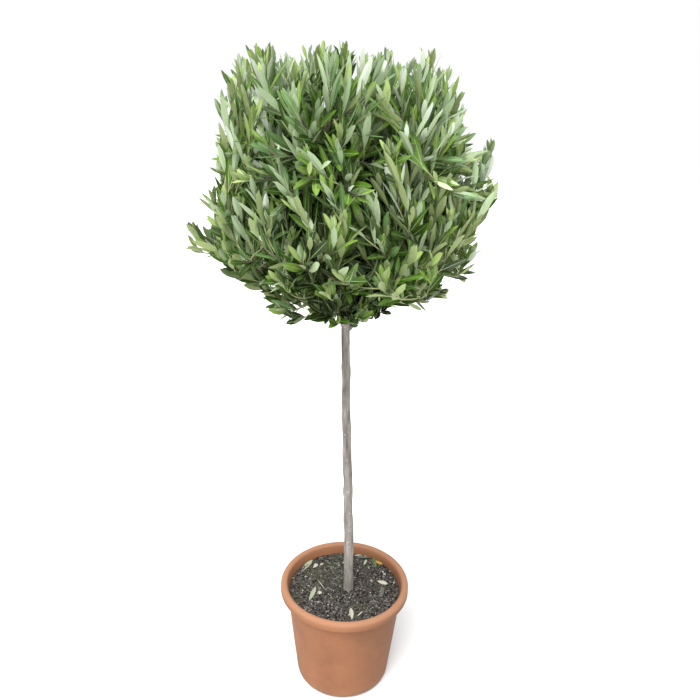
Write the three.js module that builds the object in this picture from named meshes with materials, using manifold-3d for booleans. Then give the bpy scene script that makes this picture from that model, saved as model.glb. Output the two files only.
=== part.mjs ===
// A young olive tree with a clear trunk and a round leafy crown, in a terracotta-coloured nursery pot.
// Millimetres, +Z up. The origin is the middle of the pot's flat underside.
// The crown is a set of leafy masses. Each one grows from the tip of its own bough by one seeded rule.

import * as THREE from "three";
import { mergeVertices } from "three/addons/utils/BufferGeometryUtils.js";
import Module from "manifold-3d";

const wasm = await Module();
wasm.setup();

const CLEAR = 0.3; // gap between neighbouring pieces
const FINEST = 0.02; // detail finer than this is smoothed away where pieces join
const SEED = 5.2; // shifts every random choice
const GOLDEN_ANGLE = Math.PI * (3 - Math.sqrt(5)); // turn from one skin point to the next

const POT = {
  height: 205,
  rimRadius: 120,
  rollRadius: 6.4, // of the lip's rounded top
  lipSide: 8.5, // straight outer side of the lip, below its rounded top
  lipEdge: 3, // rounding of the lip's lower edge
  neckRadius: 107.5, // outside of the wall, at the lip
  baseRadius: 88.5, // outside of the wall, above the rounded foot
  footRadius: 11, // of the rounding at the foot
  wall: 3,
  floor: 4,
  segments: 36,
};
const DRAIN = { count: 6, radius: 6, circle: 52, segments: 10 };
const COMPOST = { level: 190, flatRadius: 45, edgeDrop: 3 };

const TRUNK = {
  path: [[6.5, -5, 170], [6.5, -4, 260], [-1, -1, 440], [-6.6, 1, 590], [-13, 0, 766]],
  footRadius: 8.7,
  topRadius: 6.9,
  flare: 1.5, // extra radius at the compost
  flareHeight: 16, // over which the flare fades
  sides: 12,
  steps: 16,
};

// The skin is a round surface about a leaning axis. Above its widest level it tapers to a squarer top.
const CROWN = {
  axisX: -8.5, // at fork height
  axisLean: -0.045, // sideways run of the axis per unit of height
  forkZ: 760,
  widestZ: 880,
  radius: 218,
  topZ: 1138,
  bottomZ: 754,
  taper: 0.19, // share of the radius that is lost from the widest level to the top
  topPower: 6,
  bottomPower: 2.2,
  uprightRise: 190, // height above the bottom at which shoots stand most upright
  reach: 0.97, // how far shoots reach, as a share of the skin
  ragged: 0.1, // how far a shoot may stop short of that, as a share
  slack: 1.05, // how far a leaf may stand past the skin, as a share
};
// Tufts stand proud of the skin.
const TUFTS = [
  { azimuth: Math.PI, z: 856, gain: 0.17, width: 0.3, height: 34 },
  { azimuth: 0.05, z: 1000, gain: 0.14, width: 0.3, height: 30 },
  { azimuth: -0.08, z: 945, gain: 0.09, width: 0.3, height: 26 },
  { azimuth: Math.PI, z: 932, gain: 0.04, width: 0.25, height: 20 },
  { azimuth: 0.08, z: 912, gain: 0.02, width: 0.25, height: 20 },
];

// Boughs leave the trunk in two rings, and a leader carries on from its top.
// A mass keeps to the points nearer to its site than to any other. Sites stand high and low by turns.
const RINGS = [
  { name: "lower", count: 6, turn: 0.2, forkZ: 705, rise: 4, bendRadius: 30, bendRise: 26,
    tipRadius: 56, tipZ: 780, siteRadius: 126, siteZ: 858, stagger: 14 },
  { name: "upper", count: 5, turn: 0.75, forkZ: 732, rise: 3.8, bendRadius: 46, bendRise: 50,
    tipRadius: 56, tipZ: 925, siteRadius: 114, siteZ: 1012, stagger: 14 },
];
const LEADER = { tipZ: 930, siteZ: 1050 };
const BOUGH = { baseRadius: 4.4, tipRadius: 2.9, sides: 7, steps: 5 };

const STEM = { tipRadius: 2.5, sides: 5, steps: 4, firstTwig: 0.16 };
const TWIG = {
  count: 137, // skin points that twigs grow to, besides the tufts
  baseRadius: 2,
  tipRadius: 1.6,
  sides: 3,
  steps: 2,
  minLength: 12,
  bends: [1, 0.6, 0.2, -0.2], // shares of its own bend that a twig may take to keep to its space
};
const LEAF = {
  length: 74,
  width: 24,
  thickness: 1.5,
  widest: 0.55, // share of the length at which it is widest
  thickest: 0.15, // and at which its keel is deepest
  sunk: 1.1, // depth of the root past the twig's middle
  outside: 0.88, // level that some of it reaches
  bladeFrom: 0.16, // share of the length past which it keeps off other leaves and twigs
  spread: 0.6, // angle from the twig, radians
  firstPair: 12, // from the twig's end back to the first pair
  spacing: 22, // between pairs along a twig
  pairs: 2,
  rolls: [0, 0.6, -0.6, 1.2, -1.2], // turns about the twig that a leaf may take to keep to its space
  scales: [1, 0.8, 0.62],
};
const HEART = {
  level: 0.8, // how far out it reaches, from the crown's middle (0) to its skin (1)
  reach: 95, // and how far from its site at most
  step: 5,
  wallGap: 3, // kept off the next mass
  limbGap: 18, // kept off the middle lines of trunk and boughs
};
const SPACE_MARGIN = 0.3; // every leaf and twig stays this far inside its own mass's space
const LIMB_MARGIN = 1.2; // and this far off the trunk and boughs

const UP = new THREE.Vector3(0, 0, 1);
const vector = (x, y, z) => new THREE.Vector3(x, y, z);
const mix = THREE.MathUtils.lerp;

// A fixed random number from 0 to 1 for a counted thing, one per salt.
function chance(index, salt) {
  const wave = Math.sin(index * 12.9898 + salt * 78.233 + SEED) * 43758.5453;
  return wave - Math.floor(wave);
}

// Closed geometry to a solid.
function solidOf(geometry) {
  geometry.deleteAttribute("normal");
  geometry.deleteAttribute("uv");
  const welded = mergeVertices(geometry);
  return new wasm.Manifold(new wasm.Mesh({
    numProp: 3,
    vertProperties: new Float32Array(welded.attributes.position.array),
    triVerts: new Uint32Array(welded.index.array),
  }));
}

function geometryOf(solid) {
  const { vertProperties, triVerts } = solid.getMesh();
  const geometry = new THREE.BufferGeometry();
  geometry.setAttribute("position", new THREE.BufferAttribute(vertProperties, 3));
  geometry.setIndex(new THREE.BufferAttribute(triVerts, 1));
  return geometry;
}

// A solid to a named mesh.
function meshOf(name, solid, material) {
  const geometry = geometryOf(solid);
  geometry.computeVertexNormals();
  const mesh = new THREE.Mesh(geometry, material);
  mesh.name = name;
  return mesh;
}

// The largest connected body of a solid, without loose scraps or sealed hollows.
function mainBody(solid) {
  const whole = solidOf(geometryOf(solid.simplify(FINEST)));
  return whole.decompose().reduce((best, body) => (body.volume() > best.volume() ? body : best));
}

// A closed tube along a curve, with flat ends. radiusAt gives its radius for a share of the length.
function limb(curve, radiusAt, sides, steps) {
  const geometry = new THREE.CylinderGeometry(1, 1, 1, sides, steps);
  const frames = curve.computeFrenetFrames(steps);
  const corners = geometry.attributes.position;
  for (let i = 0; i < corners.count; i += 1) {
    const step = Math.round((corners.getY(i) + 0.5) * steps);
    const radius = radiusAt(step / steps);
    const corner = curve.getPointAt(step / steps)
      .addScaledVector(frames.binormals[step], corners.getX(i) * radius)
      .addScaledVector(frames.normals[step], corners.getZ(i) * radius);
    corners.setXYZ(i, corner.x, corner.y, corner.z);
  }
  return solidOf(geometry);
}

// A profile of [radius, height] points turned about the vertical axis.
function turned(profile, segments) {
  const points = profile.map(([radius, height]) => new THREE.Vector2(radius, height));
  return solidOf(new THREE.LatheGeometry(points, segments).rotateX(Math.PI / 2));
}

// Points on an arc in the [radius, height] plane.
function arc(centre, radius, from, to, steps) {
  return Array.from({ length: steps + 1 }, (_, i) => {
    const angle = mix(from, to, i / steps);
    return [centre[0] + radius * Math.cos(angle), centre[1] + radius * Math.sin(angle)];
  });
}

// Pot and compost

const lipZ = POT.height - POT.rollRadius;
const wallTopZ = POT.height - 2 * POT.rollRadius;
const lipEdgeZ = lipZ - POT.lipSide;
const outerRadius = (z) => mix(POT.baseRadius, POT.neckRadius,
  (z - POT.footRadius) / (wallTopZ - POT.footRadius));
const innerRadius = (z) => outerRadius(z) - POT.wall;

function pot() {
  const floorEdge = POT.footRadius + POT.floor;
  const profile = [
    [0, 0],
    ...arc([POT.baseRadius - POT.footRadius, POT.footRadius], POT.footRadius, -Math.PI / 2, 0, 3),
    [outerRadius(lipEdgeZ - POT.lipEdge), lipEdgeZ - POT.lipEdge],
    ...arc([POT.rimRadius - POT.lipEdge, lipEdgeZ], POT.lipEdge, -Math.PI / 2, 0, 2),
    ...arc([POT.rimRadius - POT.rollRadius, lipZ], POT.rollRadius, 0, Math.PI, 6),
    [innerRadius(wallTopZ), wallTopZ],
    [innerRadius(floorEdge), floorEdge],
    [innerRadius(floorEdge) - POT.footRadius, POT.floor],
    [0, POT.floor],
  ];
  let body = turned(profile, POT.segments);
  for (let i = 0; i < DRAIN.count; i += 1) {
    const angle = (i / DRAIN.count) * 2 * Math.PI;
    const hole = new THREE.CylinderGeometry(DRAIN.radius, DRAIN.radius, 4 * POT.floor, DRAIN.segments)
      .rotateX(Math.PI / 2)
      .translate(DRAIN.circle * Math.cos(angle), DRAIN.circle * Math.sin(angle), 0);
    body = body.subtract(solidOf(hole));
  }
  return body;
}

function compost() {
  const bottom = POT.floor + CLEAR;
  const shoulder = POT.footRadius + bottom;
  const edge = COMPOST.level - COMPOST.edgeDrop;
  return turned([
    [0, bottom],
    [innerRadius(shoulder) - POT.footRadius - CLEAR, bottom],
    [innerRadius(shoulder) - CLEAR, shoulder],
    [innerRadius(edge) - 2 * CLEAR, edge],
    [COMPOST.flatRadius, COMPOST.level],
    [0, COMPOST.level],
  ], POT.segments);
}

// Trunk and boughs

const trunkCurve = new THREE.CatmullRomCurve3(TRUNK.path.map(([x, y, z]) => vector(x, y, z)));
const trunkLength = trunkCurve.getLength();
const footShare = (COMPOST.level - TRUNK.path[0][2]) / trunkLength;
const trunkRadius = (share) => mix(TRUNK.footRadius, TRUNK.topRadius, share)
  + TRUNK.flare * Math.exp((-Math.max(share - footShare, 0) * trunkLength) / TRUNK.flareHeight);

function trunk(grow) {
  return limb(trunkCurve, (share) => trunkRadius(share) + grow, TRUNK.sides, TRUNK.steps)
    .trimByPlane([0, 0, 1], COMPOST.level + CLEAR);
}

const crownAxis = (z) => vector(CROWN.axisX + CROWN.axisLean * (z - CROWN.forkZ), 0, z);
const around = (z, radius, azimuth) => crownAxis(z)
  .add(vector(radius * Math.cos(azimuth), radius * Math.sin(azimuth), 0));

// The point on the trunk's middle line at a height.
function trunkPoint(z) {
  let [low, high] = [0, 1];
  for (let i = 0; i < 40; i += 1) {
    const middle = (low + high) / 2;
    if (trunkCurve.getPointAt(middle).z < z) low = middle;
    else high = middle;
  }
  return trunkCurve.getPointAt(low);
}

// Every bough: its name, its curve, and the site of the mass it carries.
function planBoughs() {
  const plans = RINGS.flatMap((ring) => Array.from({ length: ring.count }, (_, i) => {
    const azimuth = ring.turn + (i / ring.count) * 2 * Math.PI;
    const forkZ = ring.forkZ + ((i % 2) * Math.ceil(ring.count / 2) + Math.floor(i / 2)) * ring.rise;
    const siteZ = ring.siteZ + (i % 2 ? ring.stagger : -ring.stagger);
    return {
      label: `${ring.name}_${i + 1}`,
      curve: new THREE.QuadraticBezierCurve3(
        trunkPoint(forkZ),
        around(forkZ + ring.bendRise, ring.bendRadius, azimuth),
        around(ring.tipZ, ring.tipRadius, azimuth),
      ),
      baseRadius: BOUGH.baseRadius,
      site: around(siteZ, ring.siteRadius, azimuth),
    };
  }));
  const top = trunkCurve.getPointAt(1).addScaledVector(trunkCurve.getTangentAt(1), CLEAR);
  const tip = crownAxis(LEADER.tipZ);
  plans.push({
    label: "leader",
    curve: new THREE.QuadraticBezierCurve3(
      top,
      top.clone().addScaledVector(trunkCurve.getTangentAt(1), (tip.z - top.z) / 2),
      tip,
    ),
    baseRadius: TRUNK.topRadius,
    site: crownAxis(LEADER.siteZ),
  });
  return plans;
}

function bough(plan, grow) {
  return limb(plan.curve, (share) => mix(plan.baseRadius, BOUGH.tipRadius, share) + grow,
    BOUGH.sides, BOUGH.steps);
}

// The crown's skin

const skinHeight = (z) => (z > CROWN.widestZ ? CROWN.topZ - CROWN.widestZ : CROWN.widestZ - CROWN.bottomZ);
const skinPower = (z) => (z > CROWN.widestZ ? CROWN.topPower : CROWN.bottomPower);

// The radius before the skin rounds in: a cone above the widest level, a cylinder below it.
function girth(z) {
  return CROWN.radius * (1 - CROWN.taper * Math.max((z - CROWN.widestZ) / skinHeight(z), 0));
}

function skinRadius(z) {
  const height = Math.min(Math.abs(z - CROWN.widestZ) / skinHeight(z), 1);
  return girth(z) * (1 - height ** skinPower(z)) ** (1 / skinPower(z));
}

// How far tufts lift the skin at a point, as a share.
function tuftGain(z, azimuth) {
  return TUFTS.reduce((sum, tuft) => {
    const turn = Math.abs(Math.atan2(Math.sin(azimuth - tuft.azimuth), Math.cos(azimuth - tuft.azimuth)));
    return sum + tuft.gain * Math.exp(-((turn / tuft.width) ** 2) - ((z - tuft.z) / tuft.height) ** 2);
  }, 0);
}

// Where a point lies between the crown's middle (0) and its skin (1).
function skinLevel(point) {
  const axis = crownAxis(point.z);
  const azimuth = Math.atan2(point.y - axis.y, point.x - axis.x);
  const across = Math.hypot(point.x - axis.x, point.y - axis.y)
    / (girth(point.z) * (1 + tuftGain(point.z, azimuth)));
  const along = Math.abs(point.z - CROWN.widestZ) / skinHeight(point.z);
  const power = skinPower(point.z);
  return (across ** power + along ** power) ** (1 / power);
}

// Points spread evenly over the skin: equal shares of its area from top to bottom, a golden angle apart.
function skinPoints(count) {
  const rings = 240;
  const heights = Array.from({ length: rings + 1 }, (_, i) => (
    CROWN.widestZ + Math.cos((i / rings) * Math.PI)
      * (i < rings / 2 ? CROWN.topZ - CROWN.widestZ : CROWN.widestZ - CROWN.bottomZ)));
  const areas = [0];
  for (let i = 1; i <= rings; i += 1) {
    const [above, below] = [skinRadius(heights[i - 1]), skinRadius(heights[i])];
    const slope = Math.hypot(above - below, heights[i - 1] - heights[i]);
    areas.push(areas[i - 1] + (above + below) * slope);
  }
  return Array.from({ length: count }, (_, k) => {
    const area = ((k + 0.5) / count) * areas[rings];
    const ring = areas.findIndex((value) => value >= area);
    const share = (area - areas[ring - 1]) / (areas[ring] - areas[ring - 1]);
    const z = mix(heights[ring - 1], heights[ring], share);
    const azimuth = k * GOLDEN_ANGLE;
    const reach = CROWN.reach * (1 + tuftGain(z, azimuth)) * (1 - CROWN.ragged * chance(k, 1) ** 2);
    const height = mix(CROWN.widestZ, z, 1 - (CROWN.ragged * chance(k, 2) ** 2) / 2);
    return around(height, skinRadius(z) * reach, azimuth);
  });
}

// The tips of the tufts.
function tuftPoints() {
  return TUFTS.map(({ azimuth, z, gain }) => around(z, skinRadius(z) * (1 + gain), azimuth));
}

// The way a shoot points at its tip: upwards, with a lean outwards that is greatest low in the crown.
function shootDirection(tip, index) {
  const axis = crownAxis(tip.z);
  const height = THREE.MathUtils.clamp((tip.z - CROWN.bottomZ) / CROWN.uprightRise, 0, 1);
  const outward = vector(tip.x - axis.x, tip.y - axis.y, 0).divideScalar(CROWN.radius);
  const sideways = vector(-outward.y, outward.x, 0);
  const lean = mix(mix(0.6, 0.35, height), mix(0.15, 0.05, height), chance(index, 3));
  return UP.clone()
    .addScaledVector(outward, lean)
    .addScaledVector(sideways, 0.6 * (chance(index, 4) - 0.5))
    .normalize();
}

// Foliage masses

// Walls halfway to every other site, facing in, close off the space of one mass.
function wallsAround(site, sites) {
  return sites.filter((other) => other !== site).map((other) => (
    new THREE.Plane().setFromNormalAndCoplanarPoint(
      site.clone().sub(other).normalize(),
      site.clone().add(other).multiplyScalar(0.5),
    )));
}

const insideWalls = (point, walls) => walls.every((wall) => wall.distanceToPoint(point) > SPACE_MARGIN);
const inSpace = (point, walls) => insideWalls(point, walls) && skinLevel(point) < CROWN.slack;

// The curve of a twig from a share of the stem's length out to the root of its end leaf.
function twigCurve(stemCurve, share, tip, direction) {
  const start = stemCurve.getPointAt(share);
  const end = tip.clone().addScaledVector(direction, -0.95 * LEAF.length);
  const reach = start.distanceTo(end);
  const rise = THREE.MathUtils.clamp(tip.z - CROWN.bottomZ, 0.2 * reach, 0.5 * reach);
  return new THREE.CubicBezierCurve3(
    start,
    start.clone().addScaledVector(stemCurve.getTangentAt(share), 0.3 * reach),
    end.clone().addScaledVector(direction, -rise),
    end,
  );
}

// A twig to one tip, bent less and less until it keeps to its space. Null if it can't.
function growTwig(stemCurve, share, { tip, index }, walls, limbs) {
  const straight = tip.clone().sub(stemCurve.getPointAt(share)).normalize();
  const bent = shootDirection(tip, index);
  for (const bend of TWIG.bends) {
    const curve = twigCurve(stemCurve, share, tip, straight.clone().lerp(bent, bend).normalize());
    if (curve.getLength() < TWIG.minLength) continue;
    if (!curve.getPoints(8).every((point) => inSpace(point, walls))) continue;
    const solid = limb(curve, (along) => mix(TWIG.baseRadius, TWIG.tipRadius, along), TWIG.sides, TWIG.steps);
    if (!touches(solid, limbs)) return { curve, solid, index };
  }
  return null;
}

// A keeled leaf: a flat upper side, a ridge below, and a point at each end. Its root is at from.
function leafCorners(root, axis, facing, length, width, droop, from) {
  const side = axis.clone().cross(facing).normalize();
  const corner = (along, across, lift) => root.clone()
    .addScaledVector(axis, along)
    .addScaledVector(side, across)
    .addScaledVector(facing, lift);
  return [
    corner(from, 0, 0),
    corner(from + LEAF.thickest * length, 0, -LEAF.thickness),
    corner(LEAF.widest * length, -width / 2, 0),
    corner(LEAF.widest * length, width / 2, 0),
    corner(length, 0, -droop),
  ];
}
const LEAF_FACES = [0, 3, 2, 0, 2, 1, 0, 1, 3, 4, 2, 3, 4, 1, 2, 4, 3, 1];

function leafSolid(corners) {
  const geometry = new THREE.BufferGeometry().setFromPoints(corners);
  geometry.setIndex(LEAF_FACES);
  return solidOf(geometry);
}

// The dense heart of a mass: a rounded body grown from its site until it nears a wall, a limb or the skin.
function heart(site, walls, limbPoints) {
  const free = (point) => walls.every((wall) => wall.distanceToPoint(point) > HEART.wallGap)
    && skinLevel(point) < HEART.level
    && limbPoints.every((other) => other.distanceTo(point) > HEART.limbGap);
  const geometry = new THREE.IcosahedronGeometry(1, 1);
  const corners = geometry.attributes.position;
  for (let i = 0; i < corners.count; i += 1) {
    const way = vector(corners.getX(i), corners.getY(i), corners.getZ(i)).normalize();
    let reach = HEART.step;
    while (reach < HEART.reach && free(site.clone().addScaledVector(way, reach + HEART.step))) {
      reach += HEART.step;
    }
    const corner = site.clone().addScaledVector(way, reach);
    corners.setXYZ(i, corner.x, corner.y, corner.z);
  }
  return solidOf(geometry);
}

function touches(solid, other) {
  const [a, b] = [solid.boundingBox(), other.boundingBox()];
  const apart = [0, 1, 2].some((i) => a.min[i] > b.max[i] || b.min[i] > a.max[i]);
  return !apart && !solid.intersect(other).isEmpty();
}

// A leaf at one place on a twig, turned or shortened until it keeps to its space. Null if it can't.
function growLeaf(place, spread, roll, index, space) {
  for (const scale of LEAF.scales) {
    for (const turn of LEAF.rolls) {
      const side = place.side.clone().applyAxisAngle(place.along, roll + turn);
      const axis = place.along.clone().multiplyScalar(Math.cos(spread))
        .addScaledVector(side, Math.sin(spread));
      const facing = place.along.clone().multiplyScalar(Math.sin(spread))
        .addScaledVector(side, -Math.cos(spread))
        .applyAxisAngle(axis, 0.7 * (chance(index, 5) - 0.5));
      const length = LEAF.length * scale * mix(0.88, 1.05, chance(index, 6));
      const shape = (from) => leafCorners(place.point, axis, facing, length,
        LEAF.width * Math.sqrt(scale), mix(-1, 6, chance(index, 7)), from);
      const outer = shape(0).slice(2);
      if (!outer.every((corner) => inSpace(corner, space.walls))) continue;
      if (!outer.some((corner) => skinLevel(corner) > LEAF.outside)) continue;
      const solid = leafSolid(shape(-LEAF.sunk));
      const blade = leafSolid(shape(LEAF.bladeFrom * length));
      if (touches(solid, space.limbs) || space.taken.some((other) => touches(blade, other))) continue;
      space.taken.push(blade);
      return solid;
    }
  }
  return null;
}

// The leaves of one twig: an end leaf, then pairs that turn a quarter from one to the next.
function growLeaves(curve, twigIndex, space) {
  const length = curve.getLength();
  const frames = curve.computeFrenetFrames(20);
  const place = (share) => ({
    point: curve.getPointAt(share),
    along: curve.getTangentAt(share),
    side: frames.normals[Math.round(share * 20)],
  });
  const leaves = [growLeaf(place(1 - 4 / length), 0.04, 0, twigIndex * 10, space)];
  for (let pair = 0; pair < LEAF.pairs; pair += 1) {
    const share = 1 - (LEAF.firstPair + pair * LEAF.spacing) / length;
    if (share < 0.12) break;
    const roll = 2 * Math.PI * chance(twigIndex, 8) + (pair * Math.PI) / 2;
    for (const half of [0, 1]) {
      const index = twigIndex * 10 + pair * 2 + half + 1;
      const spread = LEAF.spread * mix(0.7, 1.15, chance(index, 9));
      leaves.push(growLeaf(place(share), spread, roll + half * Math.PI, index, space));
    }
  }
  return leaves.filter((leaf) => leaf);
}

// One mass: a stem from the bough's tip to its site, twigs to its share of the skin, and leaves.
function foliage(plan, tips, walls, limbs, limbPoints) {
  const along = plan.curve.getTangentAt(1);
  const start = plan.curve.getPointAt(1).addScaledVector(along, CLEAR);
  const stemCurve = new THREE.QuadraticBezierCurve3(
    start,
    start.clone().addScaledVector(along, 0.45 * start.distanceTo(plan.site)),
    plan.site,
  );
  const stem = limb(stemCurve, (share) => mix(BOUGH.tipRadius, STEM.tipRadius, share),
    STEM.sides, STEM.steps);
  const twigs = [...tips].sort((a, b) => a.tip.z - b.tip.z).map((target, rank) => (
    growTwig(stemCurve, mix(STEM.firstTwig, 1, rank / (tips.length - 1)), target, walls, limbs)
  )).filter((twig) => twig);
  const wood = [stem, ...twigs.map(({ solid }) => solid)];
  const space = { walls, limbs, taken: [...wood] };
  const leaves = twigs.flatMap(({ curve, index }) => growLeaves(curve, index, space));
  const core = heart(plan.site, walls, limbPoints).subtract(limbs);
  return mainBody(wasm.Manifold.union([core, ...wood, ...leaves]));
}

// Assembly

const terracotta = new THREE.MeshStandardMaterial({ color: 0xc47a52, roughness: 0.6, metalness: 0 });
const soil = new THREE.MeshStandardMaterial({ color: 0x3f3a33, roughness: 0.95, metalness: 0 });
const bark = new THREE.MeshStandardMaterial({ color: 0x8f867c, roughness: 0.9, metalness: 0 });
const leaf = new THREE.MeshStandardMaterial({ color: 0x7f9450, roughness: 0.6, metalness: 0 });

const plans = planBoughs();
const trunkKeepOut = trunk(CLEAR);
const limbs = wasm.Manifold.union([trunk(LIMB_MARGIN), ...plans.map((plan) => bough(plan, LIMB_MARGIN))]);
const limbPoints = [trunkCurve, ...plans.map((plan) => plan.curve)]
  .flatMap((curve) => curve.getSpacedPoints(24));
const sites = plans.map((plan) => plan.site);
const tips = [...skinPoints(TWIG.count), ...tuftPoints()].map((tip, index) => ({ tip, index }));

const tree = new THREE.Group();
tree.name = "potted_olive_tree";
tree.add(meshOf("pot", pot(), terracotta));
tree.add(meshOf("compost", compost(), soil));
tree.add(meshOf("trunk", trunk(0), bark));
for (const plan of plans) {
  tree.add(meshOf(`bough_${plan.label}`, mainBody(bough(plan, 0).subtract(trunkKeepOut)), bark));
}
for (const plan of plans) {
  const walls = wallsAround(plan.site, sites);
  const ownTips = tips.filter(({ tip }) => insideWalls(tip, walls));
  tree.add(meshOf(`foliage_${plan.label}`, foliage(plan, ownTips, walls, limbs, limbPoints), leaf));
}

export default tree;
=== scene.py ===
"""A young olive tree with a clear trunk and a round leafy crown, in a terracotta-coloured nursery pot.

Sizes are in millimetres, with +Z up and the origin in the middle of the pot's underside. Meshes are put
into the scene in metres. The limbs and the crown's skin follow the solids' own rule, which goes on here
to finer shoots and to leaves of life size.
"""

import logging
import math
from collections.abc import Sequence
from dataclasses import dataclass, field
from enum import IntEnum

import bmesh
import bpy
import numpy as np
from mathutils import Matrix, Vector


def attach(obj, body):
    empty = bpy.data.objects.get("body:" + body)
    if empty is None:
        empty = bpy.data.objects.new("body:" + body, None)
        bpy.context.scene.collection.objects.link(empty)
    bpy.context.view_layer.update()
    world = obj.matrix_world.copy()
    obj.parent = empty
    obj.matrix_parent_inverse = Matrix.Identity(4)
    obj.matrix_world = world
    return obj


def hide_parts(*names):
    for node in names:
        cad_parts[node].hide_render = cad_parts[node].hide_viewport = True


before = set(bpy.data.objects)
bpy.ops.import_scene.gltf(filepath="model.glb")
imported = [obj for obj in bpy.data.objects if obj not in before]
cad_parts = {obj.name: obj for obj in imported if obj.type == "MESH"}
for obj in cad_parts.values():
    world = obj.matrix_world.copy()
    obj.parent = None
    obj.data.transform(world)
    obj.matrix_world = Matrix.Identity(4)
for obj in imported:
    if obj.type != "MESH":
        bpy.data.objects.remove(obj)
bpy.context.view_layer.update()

MM = 0.001
WELD_DISTANCE = MM * MM
GOLDEN_ANGLE = math.pi * (3 - math.sqrt(5))
BODY = "root"
UP = np.array([0.0, 0.0, 1.0])

# The sine that random numbers are read from: its start, its steps by number and by salt, and its height.
SEED = 5.2
INDEX_STEP = 12.9898
SALT_STEP = 78.233
SINE_HEIGHT = 43758.5453

# How far a lattice corner's number moves on with each cell along Y and Z.
LATTICE_Y = 57.31
LATTICE_Z = 131.7

# Lean that is added to a curve's sag, as a share of its length, so that a straight one has a side too.
BEND_LEAN = np.array([0.61, 0.35, 0.13]) * 0.02

Array = np.ndarray
Span = tuple[float, float]
Point = tuple[float, float, float]
Color = tuple[float, float, float]
Tones = tuple[tuple[float, Color], ...]
Piece = bpy.types.Object
Socket = bpy.types.NodeSocket

log = logging.getLogger("olive_tree")


class Salt(IntEnum):
    """Random choices, each with the number that tells it from the others."""

    SKIN_REACH = 1
    SKIN_RISE = 2
    SHOOT_LEAN = 3
    SHOOT_SWAY = 4
    LEAF_FACING = 5
    LEAF_LENGTH = 6
    LEAF_ARCH = 7
    SHOOT_ROLL = 8
    LEAF_SPREAD = 9
    SCATTER_REACH = 11
    SCATTER_TURN = 12
    CRUMB_SIZE = 13
    CRUMB_CORNER = 14
    CRUMB_SPIN = 15
    CRUMB_MOSS = 16
    CRUMB_PALE = 17
    CRUMB_TONE = 18
    FIBRE_HEADING = 21
    FIBRE_TILT = 22
    FIBRE_LENGTH = 23
    FIBRE_BOW = 24
    FIBRE_TINT = 25
    FALLEN_TILT = 31
    FALLEN_ARCH = 32
    FALLEN_FOLD = 33
    FALLEN_TWIST = 34
    BARK_COARSE = 41
    BARK_FINE = 42
    BARK_SWELLING = 43
    SCAR_PLACE = 51
    SCAR_SIZE = 52
    SHOOT_LENGTH = 61
    LEAF_SPACING = 62
    LEAF_ROLL = 63
    LEAF_WIDTH = 64
    LEAF_FOLD = 65
    LEAF_TWIST = 66
    SPRAY_GREEN = 67
    LEAF_DEEP = 68
    SPRAY_PALE = 69
    LEAF_PALE = 70
    HOLLOW = 71
    COLLAR_RADIUS = 72
    COLLAR_RISE = 73
    LAYER_THINNING = 74
    LEAF_LIGHT = 75
    TUFT_HEIGHT = 76
    TUFT_AZIMUTH = 77
    TUFT_REACH = 78
    LEAF_DUSKY = 79
    SPRAY_SHADE = 80


# Numbers and curves


def chance(index: Array | int, salt: int) -> Array:
    """Give a fixed random number from 0 to 1 for each counted thing: the fraction of a large sine."""
    wave = np.sin(np.asarray(index) * INDEX_STEP + salt * SALT_STEP + SEED) * SINE_HEIGHT
    return wave - np.floor(wave)


def mix(low: Array | float, high: Array | float, share: Array | float) -> Array | float:
    """Run from low to high in a straight line as share goes from 0 to 1."""
    return low + (high - low) * share


def drawn(index: Array | int, salt: int, span: Span) -> Array:
    """Give a fixed random number within a span for each counted thing."""
    return mix(*span, chance(index, salt))


def wobble(index: Array | int, salt: int, width: float) -> Array:
    """Give a fixed random number within half a width of zero for each counted thing."""
    return width * (chance(index, salt) - 0.5)


def full_turn(steps: int) -> Array:
    """Give even angles round a whole turn, without the last one that is the first again."""
    return np.linspace(0, 2 * math.pi, steps, endpoint=False)


def unit(vectors: Array) -> Array:
    """Scale vectors to length one."""
    return vectors / np.maximum(np.linalg.norm(vectors, axis=-1, keepdims=True), 1e-9)


def turn_about(vectors: Array, axis: Array, angle: Array) -> Array:
    """Turn vectors about unit axes square to them: cosine times vector plus sine times axis cross vector."""
    angle = np.asarray(angle)[..., None]
    return np.cos(angle) * vectors + np.sin(angle) * np.cross(axis, vectors)


def lumps(points: Array, size: float, salt: int) -> Array:
    """Give smooth random lumps: random values on a cubic lattice, eased between the eight corners around.

    Args:
        points: Places in space, shape (..., 3).
        size: Width of one lattice cell.
        salt: Tells one field of lumps from another.

    Returns:
        Values from -1 to 1, one for each place.
    """
    cell = np.floor(points / size)
    inside = points / size - cell
    ease = inside * inside * (3 - 2 * inside)
    total = np.zeros(points.shape[:-1])
    for corner in np.ndindex(2, 2, 2):
        at = cell + corner
        value = chance(at[..., 0] + LATTICE_Y * at[..., 1] + LATTICE_Z * at[..., 2], salt)
        total += value * np.prod(np.where(corner, ease, 1 - ease), axis=-1)
    return 2 * total - 1


def bezier(controls: Array, steps: int) -> Array:
    """Give points on Bezier curves: each control point weighed by its Bernstein polynomial.

    Args:
        controls: Control points, shape (..., order + 1, 3).
        steps: Number of stretches along a curve.

    Returns:
        Points of shape (..., steps + 1, 3).
    """
    share = np.linspace(0, 1, steps + 1)
    order = controls.shape[-2] - 1
    weights = [math.comb(order, k) * share**k * (1 - share) ** (order - k) for k in range(order + 1)]
    return np.einsum("ks,...kd->...sd", np.array(weights), controls)


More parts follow.
